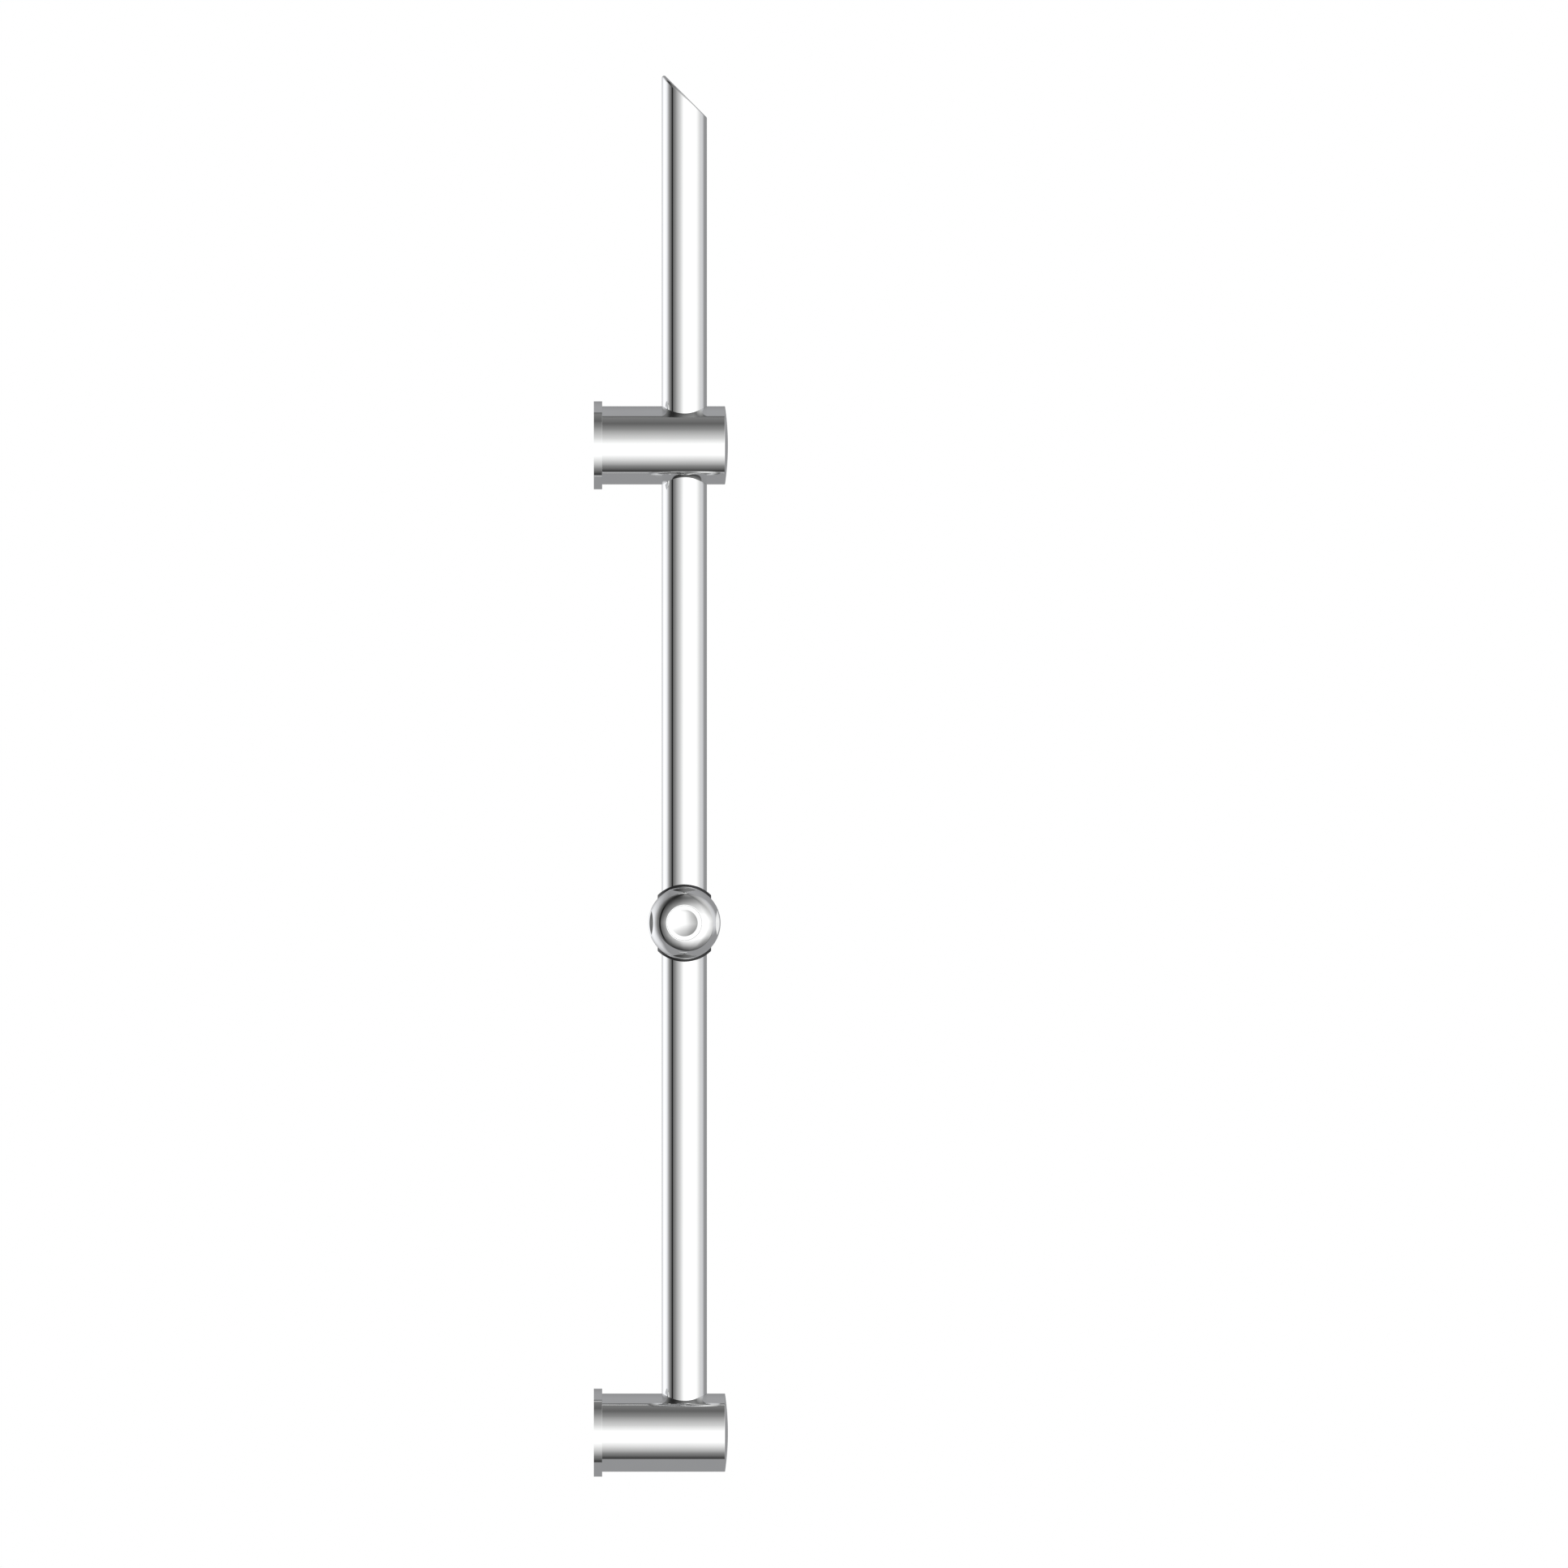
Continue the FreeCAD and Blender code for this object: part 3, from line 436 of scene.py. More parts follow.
@dataclass
class Graph:
    """Short way of writing a shader graph."""

    tree: bpy.types.NodeTree

    def fill(self, node: bpy.types.Node, inputs: Inputs) -> None:
        """Links or sets a node's inputs.

        Args:
            node: the node.
            inputs: output to link or value to set, by the input's name or number.
        """
        for key, value in inputs.items():
            if isinstance(value, Socket):
                self.tree.links.new(value, node.inputs[key])
            else:
                node.inputs[key].default_value = value

    def node(self, kind: str, inputs: Inputs) -> bpy.types.Node:
        """Adds a node and fills its inputs.

        Args:
            kind: kind of shader node.
            inputs: output to link or value to set, by the input's name or number.

        Returns:
            The new node.
        """
        made = self.tree.nodes.new(f"ShaderNode{kind}")
        self.fill(made, inputs)
        return made

    def math(self, operation: Operation, *values: Socket) -> Socket:
        """Joins numbers by an operation of the Math node.

        Args:
            operation: the operation.
            values: the one or two numbers that it takes.

        Returns:
            The result.
        """
        node = self.node("Math", dict(enumerate(values)))
        node.operation = operation.value
        return node.outputs["Value"]

    def product(self, first: Socket, *others: Socket) -> Socket:
        """Product of several numbers.

        Args:
            first: first number.
            others: other numbers.

        Returns:
            The product.
        """
        for other in others:
            first = self.math(Operation.MULTIPLY, first, other)
        return first

    def dot(self, vector: Socket, other: Triple) -> Socket:
        """Dot product of a vector and a fixed one.

        Args:
            vector: the vector.
            other: the fixed vector.

        Returns:
            The product.
        """
        node = self.node("VectorMath", {0: vector, 1: other})
        node.operation = "DOT_PRODUCT"
        return node.outputs["Value"]

    def ramp(self, value: Socket, stops: Stops) -> Socket:
        """Level that runs through the given stops and stays level beyond them.

        Args:
            value: number that the stops are placed along.
            stops: pairs of a place and the level there, in order.

        Returns:
            The level.
        """
        first, last = stops[0][0], stops[-1][0]
        spread = self.node("MapRange", {"Value": value, "From Min": first, "From Max": last})
        node = self.node("ValToRGB", {"Fac": spread.outputs["Result"]})
        elements = node.color_ramp.elements
        for place, level in stops[1:-1]:
            elements.new((place - first) / (last - first)).color = grey(level)
        for end in (0, -1):
            elements[end].color = grey(stops[end][1])
        return node.outputs["Color"]

    def tinted(self, level: Socket, share: Socket, tint: Triple) -> Socket:
        """Colour of a brightness that takes a tint on by a share.

        Args:
            level: brightness.
            share: share of the tint, from 0 to 1.
            tint: colour where the share is 1.

        Returns:
            The colour.
        """
        blend = self.node("ValToRGB", {"Fac": share})
        blend.color_ramp.elements[0].color = grey(1.0)
        blend.color_ramp.elements[1].color = (*tint, 1.0)
        node = self.node("VectorMath", {0: level, 1: blend.outputs["Color"]})
        node.operation = "MULTIPLY"
        return node.outputs["Vector"]


@dataclass(frozen=True)
class Finish:
    """Surface of one material: its colour, its gloss and its fine structure.

    Attributes:
        name: name of the material.
        slot: slot of the record that it is meant for, or None on the stage; not used.
        colour: colour where the surface is at its lightest.
        shade: share of the colour that is left where the surface is at its darkest.
        metallic: 1 for metal and 0 for plastic.
        roughness: least and greatest roughness.
        grain: size of the fine structure, in metres.
        relief: height of the fine structure, in metres.
    """

    name: str
    slot: Slot | None
    colour: Triple
    shade: float
    metallic: float
    roughness: tuple[float, float]
    grain: float
    relief: float

    NOISE_DETAIL: ClassVar[float] = 4.0
    NOISE_LOW: ClassVar[float] = 0.3
    NOISE_HIGH: ClassVar[float] = 0.7

    @cache
    def material(self) -> bpy.types.Material:
        """Builds the material, once.

        Returns:
            The material, with its structure in object coordinates.
        """
        made = bpy.data.materials.new(self.name)
        made.use_nodes = True
        graph = Graph(made.node_tree)
        place = graph.node("TexCoord", {}).outputs["Object"]
        size = {"Vector": place, "Scale": 1.0 / self.grain, "Detail": self.NOISE_DETAIL}
        noise = graph.node("TexNoise", size).outputs["Fac"]
        tint = graph.node("ValToRGB", {"Fac": noise})
        low, high = tint.color_ramp.elements
        low.position, high.position = self.NOISE_LOW, self.NOISE_HIGH
        low.color = (*(self.shade * part for part in self.colour), 1.0)
        high.color = (*self.colour, 1.0)
        limits = {"From Min": self.NOISE_LOW, "From Max": self.NOISE_HIGH}
        limits |= {"To Min": self.roughness[0], "To Max": self.roughness[1]}
        gloss = graph.node("MapRange", {"Value": noise, **limits})
        bump = graph.node("Bump", {"Height": noise, "Distance": self.relief})
        shader = {
            "Metallic": self.metallic,
            "Base Color": tint.outputs["Color"],
            "Roughness": gloss.outputs["Result"],
            "Normal": bump.outputs["Normal"],
        }
        graph.fill(made.node_tree.nodes["Principled BSDF"], shader)
        return made


CHROME = Finish(
    "bright_chrome", Slot.CHROME, colour=(0.93, 0.935, 0.933), shade=0.985, metallic=1.0,
    roughness=(0.015, 0.04), grain=14.0 * MM, relief=0.0004 * MM,
)
SCREW_STEEL = Finish(
    "satin_screw_steel", Slot.SCREW_STEEL, colour=(0.58, 0.58, 0.57), shade=0.82, metallic=1.0,
    roughness=(0.24, 0.4), grain=0.6 * MM, relief=0.01 * MM,
)
DARK_LINER = Finish(
    "charcoal_liner", Slot.DARK_LINER, colour=(0.014, 0.014, 0.0155), shade=0.8, metallic=0.0,
    roughness=(0.34, 0.48), grain=0.5 * MM, relief=0.012 * MM,
)
CLAMP_PLASTIC = Finish(
    "pale_clamp_plastic", Slot.CLAMP_PLASTIC, colour=(0.62, 0.61, 0.57), shade=0.92, metallic=0.0,
    roughness=(0.45, 0.6), grain=0.8 * MM, relief=0.01 * MM,
)
PAD_BRASS = Finish(
    "satin_brass", Slot.PAD_BRASS, colour=(0.72, 0.56, 0.3), shade=0.88, metallic=1.0,
    roughness=(0.22, 0.36), grain=0.5 * MM, relief=0.008 * MM,
)
FLOOR_PAINT = Finish(
    "pale_floor", None, colour=(0.93, 0.93, 0.93), shade=0.99, metallic=0.0,
    roughness=(0.6, 0.75), grain=120.0 * MM, relief=0.0,
)


def dress(skin: Skin, node: str, body: Body, finish: Finish) -> None:
    """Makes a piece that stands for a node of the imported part.

    Args:
        skin: patches of the piece.
        node: name of the node.
        body: body that the piece rides on.
        finish: finish of the piece.
    """
    piece = skin.piece(f"{node}_dressed")
    piece.data.materials.append(finish.material())
    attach(piece, body.value)
    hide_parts(node)
    LOG.info("%s: %d faces", piece.name, len(piece.data.polygons))


def coat(node: str, finish: Finish) -> None:
    """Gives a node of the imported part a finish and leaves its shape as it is.

    Args:
        node: name of the node.
        finish: finish of the node.
    """
    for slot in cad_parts[node].material_slots:
        slot.link = "OBJECT"
        slot.material = finish.material()
    LOG.info("%s: coated with %s", node, finish.name)


def middle(node: str) -> Vector:
    """Middle of a node's box."""
    low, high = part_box(node)
    return (low + high) / 2.0


def full_circle(steps: int) -> np.ndarray:
    """Evenly spaced angles round a full turn."""
    return np.linspace(0.0, FULL_TURN, steps, endpoint=False)


def swing(first: np.ndarray, last: np.ndarray, share: np.ndarray) -> np.ndarray:
    """Directions that swing evenly from one unit direction to another.

    Args:
        first: directions at the start, columns by 3.
        last: directions at the end, columns by 3 or a single one.
        share: shares of the way.

    Returns:
        Directions, shares by columns by 3.
    """
    first, last = np.broadcast_arrays(first, last)
    turn = np.arccos(np.clip(np.sum(first * last, axis=-1), -1.0, 1.0))[None, :, None]
    part = np.asarray(share)[:, None, None]
    return (np.sin((1.0 - part) * turn) * first + np.sin(part * turn) * last) / np.sin(turn)


@dataclass
class Rail:
    """Chromed tube with a slanted cap on its top."""

    wall: float = 1.2 * MM
    slope: float = math.tan(math.radians(45.0))
    plate: float = 3.0 * MM
    edge: float = 1.1 * MM
    plug_length: float = 12.0 * MM
    plug_wall: float = 2.0 * MM
    plug_fit: float = 0.05 * MM
    columns: int = 320
    edge_rows: int = 12

    DOWN: ClassVar[np.ndarray] = np.array([0.0, 0.0, -1.0])

    def __post_init__(self) -> None:
        """Takes the rail's place, radius and height from the frame."""
        low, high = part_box("rail_tube")
        self.radius = (high.x - low.x) / 2.0
        self.axis = Axis(((low.x + high.x) / 2.0, 0.0, 0.0), (0.0, 0.0, 1.0), (1.0, 0.0, 0.0))
        self.foot = low.z
        self.seat = high.z - self.radius * self.slope
        self.angles = full_circle(self.columns)
        self.rays = self.axis.around(self.angles)
        self.up = np.array([self.slope, 0.0, 1.0]) / math.hypot(self.slope, 1.0)

    def build(self) -> None:
        """Makes the tube and its cap."""
        dress(self.tube(), "rail_tube", Body.WALL_RAIL, CHROME)
        dress(self.cap(), "rail_end_cap", Body.WALL_RAIL, CHROME)

    def slanted(self, radius: float, height: float) -> np.ndarray:
        """Heights round a circle on a slanted plane that crosses the axis at the given height."""
        return height - radius * np.cos(self.angles) * self.slope

    def seated(self, radius: float) -> tuple[float, np.ndarray]:
        """Radius and heights of a circle on the slanted plane where the cap sits."""
        return radius, self.slanted(radius, self.seat)

    def band(self, *rows: tuple[float, np.ndarray | float]) -> np.ndarray:
        """Rows of points round the axis, each at a radius and a height or its heights by angle."""
        return np.stack([self.axis.points(radius, height, self.angles) for radius, height in rows])

    def tube(self) -> Skin:
        """Tube wall, cut square at its foot and slanted at its top.

        Returns:
            The tube's patches.
        """
        skin = Skin()
        inner = self.radius - self.wall
        for radius, rays in ((self.radius, self.rays), (inner, -self.rays)):
            skin.patch(self.band((radius, self.foot), self.seated(radius)), rays)
        skin.patch(self.band((inner, self.foot), (self.radius, self.foot)), self.DOWN)
        skin.patch(self.band(self.seated(inner), self.seated(self.radius)), self.up)
        return skin

    def cap(self) -> Skin:
        """Slanted plate with a rolled edge, and the plug that holds it in the tube.

        Returns:
            The cap's patches.
        """
        skin = Skin()
        rise = math.hypot(self.slope, 1.0)
        top = self.seat + self.plate * rise
        core = self.radius - self.edge
        roll = self.slanted(core, top - self.edge * rise)
        skin.patch(self.band(self.seated(self.radius), (self.radius, roll)), self.rays)
        turned = swing(self.rays, self.up, np.linspace(0.0, 1.0, self.edge_rows + 1))
        centres = self.axis.points(core, roll, self.angles)
        skin.patch(centres + self.edge * turned, turned)
        rim = centres + self.edge * self.up
        hub = np.broadcast_to(np.asarray(self.axis.origin) + (0.0, 0.0, top), rim.shape)
        skin.patch(np.stack([rim, hub]), self.up)
        plug = self.radius - self.wall - self.plug_fit
        hollow = plug - self.plug_wall
        roof = self.seat - self.radius * self.slope
        foot = roof - self.plug_length
        skin.patch(self.band(self.seated(plug), self.seated(self.radius)), -self.up)
        skin.patch(self.band((plug, foot), self.seated(plug)), self.rays)
        skin.patch(self.band((hollow, foot), (plug, foot)), self.DOWN)
        skin.patch(self.band((hollow, foot), (hollow, roof)), -self.rays)
        skin.patch(self.band((0.0, roof), (hollow, roof)), self.DOWN)
        return skin


@dataclass
class Bracket:
    """Wall bracket: a turned body with a domed end, bored for the rail, on a wall plate."""

    side: Side
    rail_through: bool
    dome: float = 1.4 * MM
    edge_break: float = 0.3 * MM
    wall: float = 3.0 * MM
    rail_fit: float = 0.05 * MM
    rail_floor: float = 12.2 * MM
    spigot_gap: float = 2.0 * MM
    spigot_fit: float = 0.05 * MM
    spigot_wall: float = 2.5 * MM
    flange_break: float = 0.12 * MM
    lock_radius: float = 2.53 * MM
    screw_hole: float = 2.6 * MM
    screw_head: float = 4.6 * MM
    screw_offset: float = 7.5 * MM
    edge_rows: int = 8
    dome_rows: int = 28
    hole_columns: int = 48

    def __post_init__(self) -> None:
        """Takes the bracket's place and main sizes from the frame."""
        low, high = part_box(self.node("bracket_body"))
        plate_low, plate_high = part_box(self.node("wall_plate"))
        self.height = (low.z + high.z) / 2.0
        self.back, self.front = low.x, high.x
        self.radius = (high.y - low.y) / 2.0
        self.flange = (plate_high.y - plate_low.y) / 2.0
        self.spigot_end = plate_high.x
        self.rail_place = middle("rail_tube").x
        rail_low, rail_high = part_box("rail_tube")
        self.rail_bore = (rail_high.x - rail_low.x) / 2.0 + self.rail_fit
        self.axis = Axis((0.0, 0.0, self.height), (1.0, 0.0, 0.0), (0.0, 0.0, 1.0))
        lock = middle(self.node("body_lock_screw"))
        self.lock_place = lock.x
        self.lock_angle = math.atan2(-lock.y, lock.z - self.height)

    def node(self, kind: str) -> str:
        """Name of this bracket's node of a kind."""
        return f"{self.side.value}_{kind}"

    def build(self) -> None:
        """Makes the body and the wall plate and coats the set screws."""
        dress(self.body(), self.node("bracket_body"), Body.WALL_RAIL, CHROME)
        dress(self.plate(), self.node("wall_plate"), Body.WALL_RAIL, CHROME)
        for screw in ("body_lock_screw", "rail_lock_screw"):
            coat(self.node(screw), SCREW_STEEL)

    def body(self) -> Skin:
        """Body with its dome, its socket for the spigot and its holes.

        Returns:
            The body's patches.
        """
        bulge = (self.radius**2 + self.dome**2) / (2.0 * self.dome)
        bulge_centre = self.front - bulge
        core = self.radius - self.edge_break
        shoulder = bulge_centre + math.sqrt((bulge - self.edge_break) ** 2 - core**2)
        lean = math.atan2(shoulder - bulge_centre, core)
        rim = (bulge * math.cos(lean), bulge_centre + bulge * math.sin(lean))
        rail_depth = 0.0 if self.rail_through else -self.rail_floor
        bores = [Bore(self.rail_place, self.rail_bore, 0.0, rail_depth, not self.rail_through)]
        if self.rail_through:
            bores.append(Bore(self.rail_place, self.rail_bore, math.pi, 0.0))
        socket = self.radius - self.wall
        bores.append(Bore(self.lock_place, self.lock_radius, self.lock_angle, socket))
        front = Outline(self.radius, shoulder)
        front.arc(*rim, (core, shoulder), self.edge_rows)
        front.arc(0.0, self.front, (0.0, bulge_centre), self.dome_rows)
        floor = self.spigot_end + self.spigot_gap
        back = Outline(0.0, floor).line(socket, floor).line(socket, self.back).line(self.radius, self.back)
        return CrossBored(self.axis, self.radius, self.back, shoulder, tuple(bores)).build(front, back)

    def plate(self) -> Skin:
        """Flange with a hollow spigot and two countersunk screw holes.

        Returns:
            The plate's patches.
        """
        skin = Skin()
        spigot = self.radius - self.wall - self.spigot_fit
        hollow = spigot - self.spigot_wall
        soft = self.flange - self.flange_break
        outline = Outline(self.flange, 0.0).line(self.flange, self.back - self.flange_break)
        outline.arc(soft, self.back, (soft, self.back - self.flange_break), self.edge_rows)
        outline.line(spigot, self.back).line(spigot, self.spigot_end).line(hollow, self.spigot_end)
        outline.line(hollow, self.back)
        angles = full_circle(CrossBored.SIDE_STEPS)
        skin.turn(self.axis, outline, angles)
        around = full_circle(self.hole_columns)
        sink = self.back - (self.screw_head - self.screw_hole)
        rings_back = [self.axis.points(self.flange, 0.0, angles)]
        rings_front = [self.axis.points(hollow, self.back, angles)]
        for offset in (self.screw_offset, -self.screw_offset):
            hole = Axis((0.0, 0.0, self.height + offset), self.axis.along, self.axis.zero)
            walls = Outline(self.screw_head, self.back)
            walls.line(self.screw_hole, sink).line(self.screw_hole, 0.0)
            skin.turn(hole, walls, around)
            rings_back.append(hole.points(self.screw_hole, 0.0, around))
            rings_front.append(hole.points(self.screw_head, self.back, around))
        skin.flat(rings_back, np.array([-1.0, 0.0, 0.0]))
        skin.flat(rings_front, np.array([1.0, 0.0, 0.0]))
        return skin


@dataclass
class Slider:
    """Cross body that rides the rail, its bushes, its clamp and its handset holder."""

    chamfer_width: float = 2.8 * MM
    chamfer_depth: float = 2.15 * MM
    edge: float = 2.0 * MM
    bore: float = 13.1 * MM
    clamp_hole: float = 4.05 * MM
    pivot_hole: float = 3.05 * MM
    pivot_depth: float = 7.6 * MM
    bush_inner: float = 11.08 * MM
    bush_outer: float = 13.08 * MM
    bush_inner_end: float = 6.15 * MM
    bush_reach: float = 18.9 * MM
    bush_edge: float = 0.25 * MM
    edge_rows: int = 12
    bush_columns: int = 256
    bush_rows: int = 6

    def __post_init__(self) -> None:
        """Takes the slider's place and main sizes from the frame."""
        low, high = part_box("slider_body")
        self.centre = Vector((middle("rail_tube").x, 0.0, (low.z + high.z) / 2.0))
        self.radius = high.x - self.centre.x
        self.end = high.y
        self.axis = Axis(tuple(self.centre), (0.0, -1.0, 0.0), (0.0, 0.0, 1.0))

    def build(self) -> None:
        """Makes the body and the bushes and coats the small parts."""
        dress(self.body(), "slider_body", Body.SLIDER, CHROME)
        dress(self.bush(1.0), "upper_liner_bush", Body.SLIDER, DARK_LINER)
        dress(self.bush(-1.0), "lower_liner_bush", Body.SLIDER, DARK_LINER)
        coat("clamp_sleeve", CLAMP_PLASTIC)
        coat("thrust_pad", PAD_BRASS)
        coat("friction_washer", DARK_LINER)
        coat("handset_holder", CHROME)
        for screw_part in ("pivot_screw", "spring_washer"):
            coat(screw_part, SCREW_STEEL)

    def body(self) -> Skin:
        """Turned body with chamfered ends, bored for the rail, the clamp and the pivot.

        Returns:
            The body's patches.
        """
        bores = (Bore(0.0, self.bore, 0.0, 0.0), Bore(0.0, self.bore, math.pi, 0.0))
        lean = math.atan2(self.chamfer_width, self.chamfer_depth)
        core = self.radius - self.edge
        straight = self.end - self.chamfer_depth - self.edge * math.tan(lean / 2.0)
        soft = (core + self.edge * math.cos(lean), straight + self.edge * math.sin(lean))
        flat = self.radius - self.chamfer_width
        front = Outline(self.radius, straight).arc(*soft, (core, straight), self.edge_rows)
        front.line(flat, self.end).line(self.clamp_hole, self.end).line(self.clamp_hole, self.bore)
        back = Outline(self.pivot_hole, self.pivot_depth - self.end).line(self.pivot_hole, -self.end)
        back.line(flat, -self.end).line(soft[0], -soft[1])
        back.arc(self.radius, -straight, (core, -straight), self.edge_rows)
        return CrossBored(self.axis, self.radius, -straight, straight, bores).build(front, back)

    def bush(self, sign: float) -> Skin:
        """Bush with a saddle-shaped end that follows the body's curve.

        Args:
            sign: 1 for the upper bush and -1 for the lower one.

        Returns:
            The bush's patches.
        """
        skin = Skin()
        angles = full_circle(self.bush_columns)
        axis = Axis(tuple(self.centre), (0.0, 0.0, sign), (1.0, 0.0, 0.0))
        rays = axis.around(angles)
        up = np.asarray(axis.along)
        share = np.linspace(0.0, 1.0, self.bush_rows + 1)
        lift = np.sin(share * QUARTER_TURN)
        draw = 1.0 - np.cos(share * QUARTER_TURN)

        def crown(radius: np.ndarray | float) -> np.ndarray:
            """Height of the saddle at a radius, for each column."""
            return np.sqrt(self.bush_reach**2 - (radius * np.cos(angles)) ** 2)

        def across(radius: float) -> np.ndarray:
            """Unit normals of the saddle at a radius."""
            out = np.multiply.outer(radius * np.cos(angles), [1.0, 0.0, 0.0])
            return (out + np.multiply.outer(crown(radius), up)) / self.bush_reach

        for radius, outward in ((self.bush_outer, 1.0), (self.bush_inner, -1.0)):
            start = np.full(len(angles), self.bush_inner_end)
            places = np.stack([start, crown(radius) - self.bush_edge])
            skin.patch(axis.points(radius, places, angles), outward * rays)
            radii = (radius - outward * self.bush_edge * draw)[:, None]
            heights = crown(radii) - self.bush_edge * (1.0 - lift)[:, None]
            normals = swing(outward * rays, across(radius), share)
            skin.patch(axis.points(radii, heights, angles), normals)
        ends = np.array([[self.bush_inner + self.bush_edge], [self.bush_outer - self.bush_edge]])
        saddle = np.stack([across(float(end[0])) for end in ends])
        skin.patch(axis.points(ends, crown(ends), angles), saddle)
        foot = np.array([[self.bush_inner], [self.bush_outer]])
        skin.patch(axis.points(foot, self.bush_inner_end, angles), -up)
        return skin


@dataclass
class Knob:
    """Clamp knob with a large nose radius and four scallops, and its dimpled cap."""

    skirt: float = 4.6 * MM
    nose: float = 12.3 * MM
    face_ring: float = 0.45 * MM
    scallop_radius: float = 24.2 * MM
    scallop_depth: float = 2.35 * MM
    scallop_count: int = 4
    edge: float = 0.4 * MM
    blend: float = 0.04 * MM
    back_edge: float = 0.5 * MM
    cap_fit: float = 0.05 * MM
    cap_seat: float = 2.6 * MM
    cap_edge: float = 0.03 * MM
    mouth_edge: float = 0.14 * MM
    plug_length: float = 2.0 * MM
    plug_radius: float = 6.5 * MM
    plug_bore: float = 4.5 * MM
    head_fit: float = 0.05 * MM
    head_gap: float = 0.2 * MM
    head_height: float = 7.0 * MM
    screw_hole: float = 4.05 * MM
    dimple: float = 6.5 * MM
    dimple_radius: float = 20.6 * MM
    columns: int = 720
    edge_rows: int = 8
    nose_rows: int = 36
    cap_columns: int = 256
    dimple_rows: int = 24

    def __post_init__(self) -> None:
        """Takes the knob's place and main sizes from the frame."""
        low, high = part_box("clamp_knob")
        cap_low, cap_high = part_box("knob_cap")
        centre = middle("clamp_knob")
        self.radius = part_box("slider_body")[1].x - centre.x
        self.back, self.face = -high.y, -low.y
        self.cap_radius = (cap_high.x - cap_low.x) / 2.0
        self.axis = Axis((centre.x, 0.0, centre.z), (0.0, -1.0, 0.0), (0.0, 0.0, 1.0))
        self.mouth = self.cap_radius + self.cap_fit
        self.nose_centre = (self.radius - self.nose, self.back + self.skirt)
        self.nose_end = math.acos((self.mouth + self.face_ring - self.nose_centre[0]) / self.nose)

    def build(self) -> None:
        """Makes the knob and its cap and coats the screw."""
        dress(self.grip(), "clamp_knob", Body.KNOB, CHROME)
        dress(self.cap(), "knob_cap", Body.KNOB, CHROME)
        coat("clamp_screw", SCREW_STEEL)

    def reach(self, angles: np.ndarray) -> np.ndarray:
        """Radius of the knob's side: the turned side where no scallop cuts it.

        Args:
            angles: angles about the knob's axis.

        Returns:
            The radius at each angle.
        """
        pitch = FULL_TURN / self.scallop_count
        off = np.mod(angles + pitch / 2.0, pitch) - pitch / 2.0
        distance = self.radius - self.scallop_depth + self.scallop_radius
        chord = np.clip(self.scallop_radius**2 - (distance * np.sin(off)) ** 2, 0.0, None)
        cut = distance * np.cos(off) - np.sqrt(chord)
        return -self.blend * np.logaddexp(-self.radius / self.blend, -cut / self.blend)

    def lay(
        self, skin: Skin, radii: np.ndarray, places: np.ndarray, tilt: np.ndarray, out: np.ndarray
    ) -> None:
        """Adds a patch whose normals tilt from outward directions towards the knob's face."""
        points = self.axis.points(radii, places, full_circle(self.columns))
        skin.patch(points, np.cos(tilt)[..., None] * out + np.sin(tilt)[..., None] * self.axis.along)

    def grip(self) -> Skin:
        """Knob with its nose, its scallops and the hollow for the screw's head and the cap.

        Returns:
            The knob's patches.
        """
        skin = Skin()
        angles = full_circle(self.columns)
        rays = self.axis.around(angles)
        reach = self.reach(angles)
        slope = (np.roll(reach, -1) - np.roll(reach, 1)) / (2.0 * FULL_TURN / self.columns)
        side = rays - (slope / reach)[:, None] * self.axis.around(angles + QUARTER_TURN)
        side /= np.linalg.norm(side, axis=1, keepdims=True)
        share = np.linspace(0.0, 1.0, self.edge_rows + 1)[:, None]
        heel = (share - 1.0) * QUARTER_TURN
        inset = reach - self.back_edge
        front = self.back + self.back_edge
        across, rise = self.back_edge * np.cos(heel), self.back_edge * np.sin(heel)
        self.lay(skin, inset + across, front + rise, heel, side)
        hub, level = self.nose_centre
        core = reach - self.edge
        span = np.clip((self.nose - self.edge) ** 2 - (core - hub) ** 2, 0.0, None)
        shoulder = level + np.sqrt(span)
        flank = np.stack([np.full(len(angles), front), shoulder])
        self.lay(skin, reach, flank, np.zeros((2, 1)), side)
        lean = np.arctan2(shoulder - level, core - hub)
        tilt = share * lean
        facing = side + share[..., None] * (rays - side)
        facing /= np.linalg.norm(facing, axis=-1, keepdims=True)
        self.lay(skin, core + self.edge * np.cos(tilt), shoulder + self.edge * np.sin(tilt), tilt, facing)
        bend = lean + np.linspace(0.0, 1.0, self.nose_rows + 1)[:, None] * (self.nose_end - lean)
        self.lay(skin, hub + self.nose * np.cos(bend), level + self.nose * np.sin(bend), bend, rays)
        skin.turn(self.axis, self.hollow(), angles)
        radii = np.stack([np.full(len(angles), self.screw_hole), inset])
        skin.patch(self.axis.points(radii, self.back, angles), -np.asarray(self.axis.along))
        return skin

    def hollow(self) -> Outline:
        """Half section of the face's rim, the cap's recess, the head's room and the screw's hole.

        Returns:
            The outline, from the nose to the knob's back.
        """
        face = self.nose_centre[1] + self.nose * math.sin(self.nose_end)
        floor = face - self.cap_seat
        head = self.plug_radius + self.head_fit
        seat = floor - self.plug_length - self.head_gap - self.head_height
        soft = self.mouth + self.mouth_edge
        rim = face - self.mouth_edge
        outline = Outline(self.mouth + self.face_ring, face).line(soft, face)
        outline.arc(self.mouth, rim, (soft, rim), self.edge_rows)
        outline.line(self.mouth, floor).line(head, floor).line(head, seat)
        return outline.line(self.screw_hole, seat).line(self.screw_hole, self.back)

